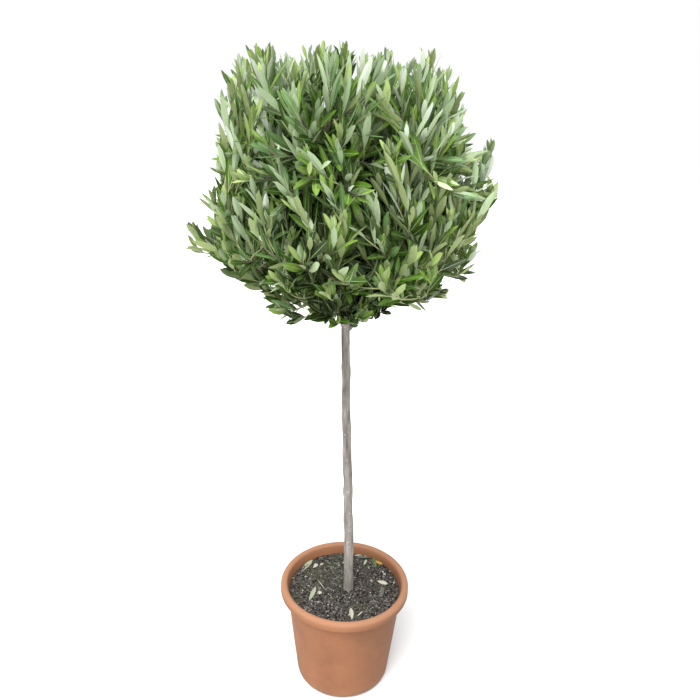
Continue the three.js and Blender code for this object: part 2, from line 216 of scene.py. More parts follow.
def through(knots: Array, steps: int) -> Array:
    """Give a smooth curve through knots: cubic stretches whose slopes follow the neighbours on each side.

    Args:
        knots: Points to pass through, shape (knots, 3).
        steps: Number of stretches along the whole curve.

    Returns:
        Points of shape (steps + 1, 3).
    """
    gaps = np.linalg.norm(np.diff(knots, axis=0), axis=1)
    at = np.concatenate([[0], np.cumsum(gaps)])
    slopes = np.gradient(knots, at, axis=0)
    where = np.linspace(0, at[-1], steps + 1)
    step = np.clip(np.searchsorted(at, where, side="right") - 1, 0, len(gaps) - 1)
    share = ((where - at[step]) / gaps[step])[:, None]
    reach = gaps[step][:, None]
    return (
        (1 + 2 * share) * (1 - share) ** 2 * knots[step]
        + share * (1 - share) ** 2 * reach * slopes[step]
        + share**2 * (3 - 2 * share) * knots[step + 1]
        + share**2 * (share - 1) * reach * slopes[step + 1]
    )


@dataclass
class Paths:
    """Curves of as many points each, read by the length along them."""

    points: Array  # Shape (curves, points, 3).
    run: Array = field(init=False)  # Length from each curve's start to each of its points.

    def __post_init__(self) -> None:
        """Measure the run along each curve."""
        steps = np.linalg.norm(np.diff(self.points, axis=1), axis=2)
        self.run = np.pad(np.cumsum(steps, axis=1), ((0, 0), (1, 0)))

    @property
    def length(self) -> Array:
        """Whole length of each curve."""
        return self.run[:, -1]

    def read(self, distance: Array) -> tuple[Array, Array]:
        """Read points and directions, straight between the curve's own points.

        Args:
            distance: Lengths from each curve's start, shape (curves, places).

        Returns:
            Points and unit directions, each of shape (curves, places, 3).
        """
        passed = (self.run[:, None, :] <= distance[:, :, None]).sum(axis=2)
        step = np.clip(passed - 1, 0, self.points.shape[1] - 2)
        row = np.arange(len(self.points))[:, None]
        low, high = self.points[row, step], self.points[row, step + 1]
        share = (distance - self.run[row, step]) / (self.run[row, step + 1] - self.run[row, step])
        return mix(low, high, share[..., None]), unit(high - low)

    def square(self) -> Array:
        """Give a vector for each curve that stands square to the plane of its bend.

        Returns:
            Unit vectors: the chord crossed with the sag, which is how far the middle lies off the chord.
        """
        chord = self.points[:, -1] - self.points[:, 0]
        sag = self.points[:, self.points.shape[1] // 2] - self.points[:, 0] - chord / 2
        return unit(np.cross(chord, sag + BEND_LEAN * self.length[:, None]))


# Surfaces


@dataclass
class Surface:
    """A mesh in the making."""

    points: Array  # Corner places, shape (points, 3).
    faces: list[Array]  # Arrays of faces, each of shape (faces, corners of a face).
    # Finish number of each face, one array for each array of faces.
    slots: list[Array] = field(default_factory=list)

    def __post_init__(self) -> None:
        """Deal the first finish to faces that name none."""
        if not self.slots:
            self.slots = [np.zeros(len(faces), int) for faces in self.faces]

    @classmethod
    def joined(cls, surfaces: Sequence["Surface"]) -> "Surface":
        """Join surfaces into one, with each one's corner numbers moved past the last one's.

        Args:
            surfaces: The surfaces, in order.

        Returns:
            One surface that has all their corners, faces and finishes.
        """
        starts = np.cumsum([0] + [len(surface.points) for surface in surfaces])
        return cls(
            np.concatenate([surface.points for surface in surfaces]),
            [faces + start for surface, start in zip(surfaces, starts) for faces in surface.faces],
            [slots for surface in surfaces for slots in surface.slots],
        )

    def painted(self, slot: int) -> "Surface":
        """Deal one finish to every face."""
        return Surface(self.points, self.faces, [np.full(len(faces), slot) for faces in self.faces])

    def piece(
        self, name: str, finishes: Sequence["Finish"], crease: float = 45, weld: bool = False
    ) -> Piece:
        """Put the surface into the scene as a smooth mesh.

        Args:
            name: Name of the piece.
            finishes: Finishes that the slots number.
            crease: Edges sharper than this angle in degrees stay sharp.
            weld: Whether corners in one place become one.

        Returns:
            The new piece, riding on the part's body.
        """
        corners = np.concatenate([faces.ravel() for faces in self.faces])
        sizes = np.concatenate([np.full(len(faces), faces.shape[1]) for faces in self.faces])
        mesh = bpy.data.meshes.new(name)
        mesh.vertices.add(len(self.points))
        mesh.vertices.foreach_set("co", (self.points * MM).astype(np.float32).ravel())
        mesh.loops.add(len(corners))
        mesh.loops.foreach_set("vertex_index", corners.astype(np.int32))
        mesh.polygons.add(len(sizes))
        mesh.polygons.foreach_set("loop_start", (np.cumsum(sizes) - sizes).astype(np.int32))
        mesh.polygons.foreach_set("material_index", np.concatenate(self.slots).astype(np.int32))
        mesh.update(calc_edges=True)
        mesh.validate()
        if weld:
            working = bmesh.new()
            working.from_mesh(mesh)
            bmesh.ops.remove_doubles(working, verts=working.verts, dist=WELD_DISTANCE)
            working.to_mesh(mesh)
            working.free()
        for finish in finishes:
            mesh.materials.append(finish.material())
        mesh.shade_smooth()
        mesh.set_sharp_from_angle(angle=math.radians(crease))
        made = bpy.data.objects.new(name, mesh)
        bpy.context.scene.collection.objects.link(made)
        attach(made, BODY)
        return made


def grid_faces(rows: int, columns: int, wrapped: bool) -> Array:
    """Number the corners of a grid's four-sided faces.

    Args:
        rows: Grid points along the first parameter.
        columns: Grid points along the second one.
        wrapped: Whether the last column joins the first.

    Returns:
        Faces of shape (faces, 4), facing out where rows run along a limb and columns turn round it.
    """
    row = np.arange(rows - 1)[:, None] * columns
    column = np.arange(columns if wrapped else columns - 1)[None, :]
    beside = (column + 1) % columns
    corners = [row + column, row + beside, row + columns + beside, row + columns + column]
    return np.stack(np.broadcast_arrays(*corners), axis=-1).reshape(-1, 4)


def turned(radius: Array, height: Array, columns: int) -> Surface:
    """Turn a profile about the upright axis: radius times cosine and sine of the angle, at its height.

    Args:
        radius: Radius of each profile point, shape (rows,) or (rows, columns).
        height: Height of each profile point, in either shape.
        columns: Number of steps round the axis.

    Returns:
        The closed strip of surface, facing out where the profile runs upwards.
    """
    angle = full_turn(columns)
    radius = radius[:, None] if radius.ndim == 1 else radius
    height = height[:, None] if height.ndim == 1 else height
    shape = np.broadcast_arrays(radius * np.cos(angle), radius * np.sin(angle), height + 0 * angle)
    return Surface(np.stack(shape, axis=-1).reshape(-1, 3), [grid_faces(len(radius), columns, True)])


def arc(centre: Span, radius: float, start: float, end: float, steps: int) -> Array:
    """Give points on an arc, each as radius and height, from one angle to another."""
    angle = np.linspace(start, end, steps + 1)
    return np.stack([centre[0] + radius * np.cos(angle), centre[1] + radius * np.sin(angle)], axis=-1)


def sweep(paths: Paths, radius: Array, sides: int) -> Surface:
    """Carry a round profile along curves: a ring square to the curve at each point, with flat ends.

    Args:
        paths: The middle lines.
        radius: Ring radii, shape (curves, points) or (curves, points, sides).
        sides: Corners of a ring.

    Returns:
        One closed tube for each curve.
    """
    count, steps = paths.points.shape[:2]
    tangent = unit(np.gradient(paths.points, axis=1))
    across = unit(np.cross(tangent, paths.square()[:, None, :]))
    up = np.cross(tangent, across)
    angle = full_turn(sides)[:, None]
    reach = (radius[..., None] if radius.ndim == 2 else radius)[..., None]
    ring = np.cos(angle) * across[:, :, None] + np.sin(angle) * up[:, :, None]
    points = paths.points[:, :, None] + reach * ring
    start = (np.arange(count) * steps * sides)[:, None]
    walls = (start[..., None] + grid_faces(steps, sides, True)).reshape(-1, 4)
    first = start + np.arange(sides)[::-1]
    last = start + (steps - 1) * sides + np.arange(sides)
    return Surface(points.reshape(-1, 3), [walls, first, last])


# Finishes


def linear(color: Color) -> tuple[float, float, float, float]:
    """Turn a display colour, 0 to 255, into the linear one that shaders take, by the two-part curve."""
    share = np.array(color) / 255
    return (*np.where(share <= 0.04045, share / 12.92, ((share + 0.055) / 1.055) ** 2.4).tolist(), 1.0)


class MixSocket(IntEnum):
    """Numbers of the sockets by which a Mix node blends colours."""

    SHARE = 0
    RESULT = 2
    LOW = 6
    HIGH = 7


class NodeTree:
    """A material's nodes, with short calls that add and join them."""

    def __init__(self, material: bpy.types.Material) -> None:
        """Take hold of a material's tree and its shader.

        Args:
            material: The material, whose nodes are switched on.
        """
        material.use_nodes = True
        self.tree = material.node_tree
        self.shader = self.tree.nodes["Principled BSDF"]

    def feed(self, node: bpy.types.Node, inputs: dict[str | int, object]) -> None:
        """Set a node's sockets.

        Args:
            node: The node.
            inputs: Socket names or numbers, each with a constant or another node's output.
        """
        for name, value in inputs.items():
            if isinstance(value, Socket):
                self.tree.links.new(value, node.inputs[name])
            else:
                node.inputs[name].default_value = value

    def add(self, kind: str, inputs: dict[str | int, object], **settings: object) -> bpy.types.Node:
        """Add a node with its settings and sockets.

        Args:
            kind: Name of the node's type, without its prefix.
            inputs: Socket names or numbers, each with a constant or another node's output.
            settings: Properties of the node.

        Returns:
            The new node.
        """
        node = self.tree.nodes.new("ShaderNode" + kind)
        for name, value in settings.items():
            setattr(node, name, value)
        self.feed(node, inputs)
        return node

    def place(self, stretch: Point = (1, 1, 1)) -> Socket:
        """Give object coordinates, scaled along each axis."""
        coordinates = self.add("TexCoord", {}).outputs["Object"]
        return self.add("Mapping", {"Vector": coordinates, "Scale": stretch}).outputs["Vector"]

    def noise(self, place: Socket, scale: float, detail: float) -> Socket:
        """Give a cloudy pattern of that many clouds to the metre."""
        inputs = {"Vector": place, "Scale": scale, "Detail": detail, "Roughness": 0.6}
        return self.add("TexNoise", inputs).outputs["Fac"]

    def ramp(self, share: Socket, tones: Tones) -> Socket:
        """Give a colour for each value: the tones at their places, and a straight run between them.

        Args:
            share: Values from 0 to 1.
            tones: Two or more places from 0 to 1, each with its display colour.

        Returns:
            The colours.
        """
        node = self.add("ValToRGB", {"Fac": share})
        elements = node.color_ramp.elements
        for _ in tones[2:]:
            elements.new(0.5)
        for element, (place, color) in zip(elements, tones):
            element.position = place
            element.color = linear(color)
        return node.outputs["Color"]

    def spread(self, value: Socket, start: Span, end: Span) -> Socket:
        """Carry a value from its start range, clamped, to the end range."""
        ranges = ("From Min", "From Max", "To Min", "To Max")
        return self.add("MapRange", {"Value": value, **dict(zip(ranges, start + end))}).outputs["Result"]

    def blend(self, share: Socket, low: Socket | tuple, high: Socket | tuple) -> Socket:
        """Blend two colours, from the low one alone at share 0 to the high one at 1."""
        inputs = {MixSocket.SHARE: share, MixSocket.LOW: low, MixSocket.HIGH: high}
        return self.add("Mix", inputs, data_type="RGBA").outputs[MixSocket.RESULT]

    def relief(self, height: Socket, strength: float, depth: float) -> Socket:
        """Give a surface normal that a height pattern tilts."""
        inputs = {"Height": height, "Strength": strength, "Distance": depth}
        return self.add("Bump", inputs).outputs["Normal"]


@dataclass(frozen=True)
class Finish:
    """A plain finish, with its colour and gloss set on the shader itself."""

    name: str
    color: Color  # Display colour, each part from 0 to 255.
    roughness: float = 0.6
    specular: float = 0.5

    def material(self) -> bpy.types.Material:
        """Give the material, made the first time it is asked for.

        Returns:
            The material, with its patterns.
        """
        known = bpy.data.materials.get(self.name)
        if known:
            return known
        made = bpy.data.materials.new(self.name)
        nodes = NodeTree(made)
        nodes.feed(nodes.shader, {
            "Base Color": linear(self.color),
            "Roughness": self.roughness,
            "Specular IOR Level": self.specular,
        })
        self.dress(nodes)
        return made

    def dress(self, nodes: NodeTree) -> None:
        """Add patterns to the shader. A plain finish has none."""


@dataclass(frozen=True)
class PotFinish(Finish):
    """Matt moulded plastic: faint clouds, painted light on the lip's top, painted shade on the right side, a
    dusty foot, scuffs and grain.
    """

    # Colour of the painted light on the lip's top, where light falls from above.
    lip: Color = (160, 117, 90)
    # Colour of the painted shade on the right side, which faces away from the key light.
    right_shade: Color = (108, 71, 48)
    dust: Color = (143, 104, 80)
    # Brightness of the deepest and of the palest cloud, as a share of the colour's.
    cloud_shades: Span = (0.9, 1.05)
    lip_height: Span = (0.1935, 0.201)  # Heights in metres over which the painted light of the lip's top sets in.
    lip_light_share: float = 0.65
    right_shade_reach: Span = (0.0, 0.11)  # Places along X over which the painted shade of the right side sets in.
    right_shade_share: float = 0.85
    foot_height: Span = (0.03, 0.004)  # Heights over which the dust sets in, downwards.
    dust_share: float = 0.5
    scuff_share: float = 0.3

    def dress(self, nodes: NodeTree) -> None:
        """Blend painted shade on the right side, painted light on the lip's top and dust over the clouds by
        their places, then add scuffs and grain.

        Args:
            nodes: The material's nodes.
        """
        place = nodes.place()
        parts = nodes.add("SeparateXYZ", {"Vector": place}).outputs
        height = parts["Z"]
        deep, pale = (tuple(min(shade * part, 255) for part in self.color) for shade in self.cloud_shades)
        cloudy = nodes.noise(place, scale=11, detail=4)
        clouds = nodes.ramp(cloudy, ((0.32, deep), (0.52, self.color), (0.72, pale)))
        # Painted shade: the right side is blended towards a darker colour.
        to_right_shade = nodes.spread(parts["X"], self.right_shade_reach, (0, self.right_shade_share))
        right_shaded = nodes.blend(to_right_shade, clouds, linear(self.right_shade))
        # Painted light: the lip's top is blended towards a paler colour.
        to_lip_light = nodes.spread(height, self.lip_height, (0, self.lip_light_share))
        lit_lip = nodes.blend(to_lip_light, right_shaded, linear(self.lip))
        to_foot = nodes.spread(height, self.foot_height, (0, self.dust_share))
        dusty = nodes.blend(to_foot, lit_lip, linear(self.dust))
        streaks = nodes.noise(nodes.place((14, 14, 90)), scale=4, detail=5)
        scuffs = nodes.spread(streaks, (0.6, 0.78), (0, self.scuff_share))
        scuffed = nodes.blend(scuffs, dusty, linear(self.dust))
        grain = nodes.noise(place, scale=1500, detail=2)
        nodes.feed(nodes.shader, {
            "Base Color": scuffed,
            "Roughness": nodes.spread(streaks, (0.3, 0.7), (0.6, 0.76)),
            "Normal": nodes.relief(grain, strength=0.25, depth=0.0003),
        })


@dataclass(frozen=True)
class BarkFinish(Finish):
    """Smooth grey bark: long streaks of tone, pale pores and dark hair cracks."""

    tones: Tones = (
        (0.28, (92, 86, 80)), (0.46, (124, 118, 112)), (0.6, (143, 137, 131)), (0.78, (166, 160, 154)))
    pore: Color = (205, 198, 186)
    pore_share: float = 0.7
    crack: Color = (74, 66, 58)
    crack_share: float = 0.55

    def dress(self, nodes: NodeTree) -> None:
        """Lay cracks and pores over streaks that run along the limb.

        Args:
            nodes: The material's nodes.
        """
        streaks = nodes.noise(nodes.place((1, 1, 0.16)), scale=150, detail=5)
        tone = nodes.ramp(streaks, self.tones)
        fine = nodes.noise(nodes.place((1, 1, 0.3)), scale=620, detail=4)
        cracks = nodes.spread(fine, (0.4, 0.3), (0, self.crack_share))
        cracked = nodes.blend(cracks, tone, linear(self.crack))
        spots = nodes.add("TexVoronoi", {"Vector": nodes.place((1, 1, 0.7)), "Scale": 130})
        pores = nodes.spread(spots.outputs["Distance"], (0.16, 0.1), (0, self.pore_share))
        nodes.feed(nodes.shader, {
            "Base Color": nodes.blend(pores, cracked, linear(self.pore)),
            "Roughness": nodes.spread(fine, (0.3, 0.7), (0.92, 0.74)),
            "Normal": nodes.relief(fine, strength=0.5, depth=0.0006),
        })


@dataclass(frozen=True)
class CompostFinish(Finish):
    """Dark loose compost: crumbs of several browns, grey dust and a fine rough relief."""

    tones: Tones = (
        (0.3, (28, 26, 24)), (0.48, (51, 48, 45)), (0.62, (78, 74, 70)), (0.8, (120, 115, 108)))
    moss: Color = (70, 74, 56)
    moss_share: float = 0.45

    def dress(self, nodes: NodeTree) -> None:
        """Lay crumbs of tone with a faint green cast in patches.

        Args:
            nodes: The material's nodes.
        """
        place = nodes.place()
        crumbs = nodes.noise(place, scale=330, detail=5)
        patches = nodes.spread(nodes.noise(place, scale=17, detail=2), (0.5, 0.7), (0, self.moss_share))
        tone = nodes.blend(patches, nodes.ramp(crumbs, self.tones), linear(self.moss))
        relief = nodes.relief(crumbs, strength=0.9, depth=0.0025)
        nodes.feed(nodes.shader, {"Base Color": tone, "Normal": relief})


POT_PLASTIC = PotFinish("terracotta_plastic", (142, 95, 65), 0.7, 0.25)
BARK = BarkFinish("grey_bark", (150, 141, 134), 0.85, 0.3)
COMPOST_SOIL = CompostFinish("dark_compost", (62, 56, 50), 0.95, 0.2)


class CrumbTint(IntEnum):
    """Kinds of crumb that lie on the compost."""

    DARK = 0
    BROWN = 1
    GREY = 2
    MOSSY = 3
    PALE = 4


CRUMB_FINISHES = [
    Finish("crumb_dark", (28, 26, 24), 0.95, 0.2),
    Finish("crumb_brown", (66, 59, 52), 0.95, 0.2),
    Finish("crumb_grey", (106, 102, 97), 0.9, 0.2),
    Finish("crumb_mossy", (78, 83, 64), 0.95, 0.2),
    Finish("crumb_pale", (164, 161, 152), 0.85, 0.3),
]


class LeafTint(IntEnum):
    """Finishes of a leaf's upper side, midrib and underside, painted shade and painted sheen among them."""

    YOUNG = 0
    FRESH = 1
    GREEN = 2
    BLUE = 3
    # Deep green of older leaves, also painted shade on upper sides inside the crown.
    DEEP = 4
    RIB = 5
    SILVER = 6
    # Sage underside, also painted shade on undersides inside the crown.
    SAGE = 7
    # Pale underside, partly a real silvery underside and partly a painted highlight.
    PALE = 8
    # Painted shade on the upper sides of leaves deep inside the crown.
    SHADE = 9
    # Painted sheen: a pale upper side that stands in for a glint of light.
    LIGHT = 10
    # Painted shade on the undersides of leaves deep inside the crown.
    DIM = 11


LEAF_FINISHES = [
    Finish("leaf_young", (148, 169, 98), 0.36),
    Finish("leaf_fresh", (110, 141, 56), 0.27),
    Finish("leaf_green", (84, 121, 34), 0.27),
    Finish("leaf_blue_green", (97, 131, 77), 0.29),
    # Deep green, also painted shade inside the crown.
    Finish("leaf_deep", (56, 86, 24), 0.36),
    Finish("leaf_midrib", (170, 187, 130), 0.55),
    Finish("leaf_silver", (162, 182, 142), 0.6),
    # Sage, also painted shade on undersides inside the crown.
    Finish("leaf_sage", (139, 154, 100), 0.6),
    # Pale silvery underside, partly a painted highlight.
    Finish("leaf_pale", (211, 223, 200), 0.5),
    # Painted shade on upper sides deep inside the crown.
    Finish("leaf_shade", (38, 58, 18), 0.6),
    # Painted sheen on some upper sides.
    Finish("leaf_light", (188, 206, 166), 0.4),
    # Painted shade on undersides deep inside the crown.
    Finish("leaf_dim", (74, 95, 43), 0.65),
]


class FallenTint(IntEnum):
    """Finishes of leaves that have fallen."""

    SAGE = 0
    STRAW = 1
    YELLOW = 2
    GREEN = 3
    GREY = 4


FALLEN_FINISHES = [
    Finish("fallen_sage", (137, 143, 122), 0.75),
    Finish("fallen_straw", (160, 159, 141), 0.8),
    Finish("fallen_yellow", (160, 126, 52), 0.7),
    Finish("fallen_green", (84, 102, 58), 0.6),
    Finish("fallen_grey", (84, 86, 76), 0.85),
]


class TwigTint(IntEnum):
    """Finishes of twigs by age."""

    BARK = 0
    YOUNG = 1


TWIG_FINISHES = [
    Finish("twig_bark", (128, 118, 102), 0.85, 0.3),
    Finish("twig_young", (158, 162, 116), 0.7, 0.4),
]


# Pot and compost


@dataclass(frozen=True)
class Pot:
    """A tapered round pot with a deep rounded lip, a rounded foot and a ring of drain holes."""

    height: float = 205
    rim_radius: float = 120
    roll_radius: float = 6.4
    lip_side: float = 8.5
    lip_edge: float = 3
    neck_radius: float = 107.5
    base_radius: float = 88.5
    foot_radius: float = 11
    wall: float = 3
    floor: float = 4
    hole_count: int = 6
    hole_radius: float = 6
    hole_circle: float = 52
    hub_radius: float = 30
    columns: int = 144
    wall_rows: int = 24
    foot_steps: int = 10
    edge_steps: int = 8
    roll_steps: int = 20
    sector_rows: int = 4
    ray_steps: int = 6
    sag: float = 0.5

    @property
    def wall_top(self) -> float:
        """Height at which the inner wall meets the lip."""
        return self.height - 2 * self.roll_radius

    @property
    def shoulder(self) -> float:
        """Height at which the inner wall turns in to the floor."""
        return self.foot_radius + self.floor

    @property
    def flat_radius(self) -> float:
        """Radius of the flat underside."""
        return self.base_radius - self.foot_radius

    def outer_radius(self, z: Array | float) -> Array | float:
        """Give the outside radius of the wall, on a straight taper from foot to lip."""
        share = (z - self.foot_radius) / (self.wall_top - self.foot_radius)
        return mix(self.base_radius, self.neck_radius, share)

    def inner_radius(self, z: Array | float) -> Array | float:
        """Give the inside radius of the wall."""
        return self.outer_radius(z) - self.wall

    def shell(self) -> Surface:
        """Turn the profile: foot arc, wall, lip with its edge and round top, inner wall, slope to the floor.

        Returns:
            The pot without the flat parts of its floor. Half way up it is most out of round, by a
            two-lobed wave and a weaker five-lobed one.
        """
        foot = (self.flat_radius, self.foot_radius)
        roll = (self.rim_radius - self.roll_radius, self.height - self.roll_radius)
        edge = (self.rim_radius - self.lip_edge, roll[1] - self.lip_side)
        up = np.linspace(self.foot_radius, edge[1] - self.lip_edge, self.wall_rows + 1)
        down = np.linspace(self.wall_top, self.shoulder, self.wall_rows + 1)
        profile = np.concatenate([
            arc(foot, self.foot_radius, -math.pi / 2, 0, self.foot_steps),
            np.stack([self.outer_radius(up), up], axis=-1)[1:],
            arc(edge, self.lip_edge, -math.pi / 2, 0, self.edge_steps),
            arc(roll, self.roll_radius, 0, math.pi, self.roll_steps),
            np.stack([self.inner_radius(down), down], axis=-1),
            [[self.inner_radius(self.shoulder) - self.foot_radius, self.floor]],
        ])
        radius, height = profile[:, :1], profile[:, 1]
        angle = full_turn(self.columns)
        wave = np.cos(2 * angle + 0.6) + 0.5 * np.cos(5 * angle + 2.1)
        loose = np.sin(math.pi * np.clip(height / self.height, 0, 1))[:, None]
        return turned(radius + self.sag * loose * wave, height, self.columns)

    def floor_side(self, radius: float, z: float, facing_up: bool) -> Surface:
        """Build one flat side of the floor: a middle disc, and a sector round each drain hole.

        Args:
            radius: Outer radius of the disc.
            z: Its height.
            facing_up: Whether it faces up.

        Returns:
            The disc. A sector is a straight blend from the hole's circle to the sector's outline.
        """
        steps = self.columns // self.hole_count
        half = math.pi / self.hole_count
        sweep_out = np.linspace(-half, half, steps + 1)
        ray = np.linspace(self.hub_radius, radius, self.ray_steps + 1)
        outline = np.concatenate([
            radius * np.exp(1j * sweep_out)[:-1],
            ray[:0:-1] * np.exp(1j * half),
            self.hub_radius * np.exp(-1j * sweep_out)[:-1],
            ray[:-1] * np.exp(-1j * half),
        ])
        away = outline - self.hole_circle
        circle = self.hole_circle + self.hole_radius * away / abs(away)
        sector = mix(circle, outline, np.linspace(0, 1, self.sector_rows)[:, None])
        turns = np.exp(2j * half * np.arange(self.hole_count))
        parts = [turned(np.array([0, self.hub_radius]), np.full(2, z), self.columns)]
        for turn in turns:
            flat = (sector * turn).ravel()
            points = np.stack([flat.real, flat.imag, np.full(flat.size, z)], axis=-1)
            parts.append(Surface(points, [grid_faces(len(sector), sector.shape[1], True)]))
        disc = Surface.joined(parts)
        if facing_up:
            disc.faces = [faces[:, ::-1] for faces in disc.faces]
        return disc

    def holes(self) -> Surface:
        """Build the walls of the drain holes, from the underside to the floor's inner side.

        Returns:
            A strip for each hole, between the first rows of the sectors on the two sides of the floor.
        """
        lower, upper = (self.floor_side(self.flat_radius, z, False).points for z in (0, self.floor))
        hole = np.arange(self.hole_count)[:, None]
        ring = 2 * (self.columns // self.hole_count + self.ray_steps)
        first = 2 * self.columns + self.sector_rows * ring * hole + np.arange(ring)
        points = np.stack([upper[first], lower[first]], axis=1)
        start = 2 * ring * hole[..., None]
        return Surface(points.reshape(-1, 3), [(start + grid_faces(2, ring, True)).reshape(-1, 4)])

    def build(self) -> Piece:
        """Join shell, floor and holes into the pot that stands for the solid one.

        Returns:
            The pot.
        """
        made = Surface.joined([
            self.shell(),
            self.floor_side(self.flat_radius, 0, False),
            self.floor_side(self.inner_radius(self.shoulder) - self.foot_radius, self.floor, True),
            self.holes(),
        ]).piece("pot_moulded", [POT_PLASTIC], crease=50, weld=True)
        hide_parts("pot")
        return made


# A crumb's corners, six on its axes and four on its upper slants, and the sides that join them.
CRUMB_CORNERS = np.concatenate([
    np.array([[1, 0, 0], [0, 1, 0], [-1, 0, 0], [0, -1, 0], [0, 0, 1], [0, 0, -1]], float),
    unit(np.array([[1, 1, 1], [-1, 1, 1], [-1, -1, 1], [1, -1, 1]], float)),
])
CRUMB_SIDES = np.array([
    [0, 1, 6], [1, 2, 7], [2, 3, 8], [3, 0, 9], [4, 6, 7], [4, 7, 8], [4, 8, 9], [4, 9, 6],
    [1, 7, 6], [2, 8, 7], [3, 9, 8], [0, 6, 9], [1, 0, 5], [2, 1, 5], [3, 2, 5], [0, 3, 5],
])


@dataclass(frozen=True)
class CompostBed:
    """Compost that fills the pot, with loose crumbs and fibres on top."""

    pot: Pot
    level: float = 190
    flat_radius: float = 45
    edge_drop: float = 3
    gap: float = 0.3
    roughness: float = 2.2
    lump_shares_and_widths: tuple[Span, ...] = ((0.5, 19), (0.35, 7), (0.25, 3.1))
    sink: float = 0.6
    rows: int = 56
    columns: int = 180
    turn_jitter: float = 0.8
    crumb_count: int = 4200
    crumb_sizes: Span = (0.8, 3.2)
    crumb_size_power: float = 2.4
    crumb_reach: float = 0.985
    crumb_corner_reach: Span = (0.55, 1.1)
    crumb_flatness: float = 0.75
    pale_share: float = 0.026
    mossy_share: float = 0.4
    dark_below: float = 0.42
    brown_below: float = 0.7
    fibre_count: int = 60
    fibre_first: int = 7000
    fibre_reach: float = 0.9
    fibre_half_lengths: Span = (3, 11)
    fibre_tilt: float = 0.1
    fibre_bow: float = 2.4
    fibre_arch: float = 1.1
    fibre_lift: float = 0.6
    fibre_radius: float = 0.32
    fibre_steps: int = 4
    fibre_sides: int = 4
    pale_fibre_share: float = 0.2

    @property
    def radius(self) -> float:
        """Radius of the compost's edge at its top."""
        return self.pot.inner_radius(self.level - self.edge_drop) - 2 * self.gap

    def height_at(self, x: Array, y: Array) -> Array:
        """Give the surface's height: flat in the middle, falling to the edge, with three sizes of lump.

        Args:
            x: Places along X.
            y: Places along Y.

        Returns:
            Height at each place.
        """
        reach = np.hypot(x, y)
        fall = self.edge_drop * np.clip((reach - self.flat_radius) / (self.radius - self.flat_radius), 0, 1)
        place = np.stack([x, y, np.zeros_like(x)], axis=-1)
        kinds = enumerate(self.lump_shares_and_widths, start=1)
        rough = sum(share * lumps(place, width, salt) for salt, (share, width) in kinds)
        return self.level - fall + self.roughness * rough - self.sink

    def bed(self) -> Surface:
        """Turn the bed: a lumpy top, the wall along the pot, and a flat bottom just off the pot's floor.

        Returns:
            The closed bed.
        """
        bottom = self.pot.floor + self.gap
        shoulder = self.pot.foot_radius + bottom
        out = np.linspace(0, self.radius, self.rows + 1)
        angle = full_turn(self.columns)
        top = self.height_at(out[:, None] * np.cos(angle), out[:, None] * np.sin(angle))
        foot = self.pot.inner_radius(shoulder) - self.gap
        side = np.array([[foot, shoulder], [foot - self.pot.foot_radius, bottom], [0, bottom]])
        radius = np.concatenate([out, side[:, 0]])[::-1]
        height = np.concatenate([top, np.repeat(side[:, 1:], self.columns, axis=1)])[::-1]
        return turned(radius, height, self.columns)

    def scatter(self, count: int, first: int, reach: float) -> tuple[Array, Array]:
        """Spread places evenly over the top: equal shares of area, a golden angle apart, jittered.

        Args:
            count: Number of places.
            first: Number of the first one, so that two scatters differ.
            reach: Share of the radius that they cover.

        Returns:
            Numbers of the places, and the places on the surface.
        """
        index = first + np.arange(count)
        out = self.radius * reach * np.sqrt((np.arange(count) + chance(index, Salt.SCATTER_REACH)) / count)
        angle = index * GOLDEN_ANGLE + self.turn_jitter * chance(index, Salt.SCATTER_TURN)
        x, y = out * np.cos(angle), out * np.sin(angle)
        return index, np.stack([x, y, self.height_at(x, y)], axis=-1)

    def crumbs(self) -> Surface:
        """Lay crumbs: sixteen-sided lumps with each corner drawn in or out, mostly small, few of them pale.

        Returns:
            All crumbs, each with a turn of its own about the upright.
        """
        index, places = self.scatter(self.crumb_count, 0, self.crumb_reach)
        size = mix(*self.crumb_sizes, chance(index, Salt.CRUMB_SIZE) ** self.crumb_size_power)
        corner = index[:, None] * len(CRUMB_CORNERS) + np.arange(len(CRUMB_CORNERS))
        reach = drawn(corner, Salt.CRUMB_CORNER, self.crumb_corner_reach)[..., None]
        spin = 2 * math.pi * chance(index, Salt.CRUMB_SPIN)[:, None]
        along, across, up = CRUMB_CORNERS.T
        x = along * np.cos(spin) - across * np.sin(spin)
        y = along * np.sin(spin) + across * np.cos(spin)
        body = np.stack([x, y, np.broadcast_to(self.crumb_flatness * up, x.shape)], axis=-1)
        points = places[:, None] + size[:, None, None] * reach * body
        faces = (index[:, None, None] * len(CRUMB_CORNERS) + CRUMB_SIDES).reshape(-1, 3)
        back_left = (places[:, 0] < 0) & (places[:, 1] > 0)
        mossy = back_left & (chance(index, Salt.CRUMB_MOSS) < self.mossy_share)
        pale = chance(index, Salt.CRUMB_PALE) < self.pale_share
        tone = chance(index, Salt.CRUMB_TONE)
        tint = np.select(
            [pale, mossy, tone < self.dark_below, tone < self.brown_below],
            [CrumbTint.PALE, CrumbTint.MOSSY, CrumbTint.DARK, CrumbTint.BROWN], CrumbTint.GREY)
        return Surface(points.reshape(-1, 3), [faces], [np.repeat(tint, len(CRUMB_SIDES))])

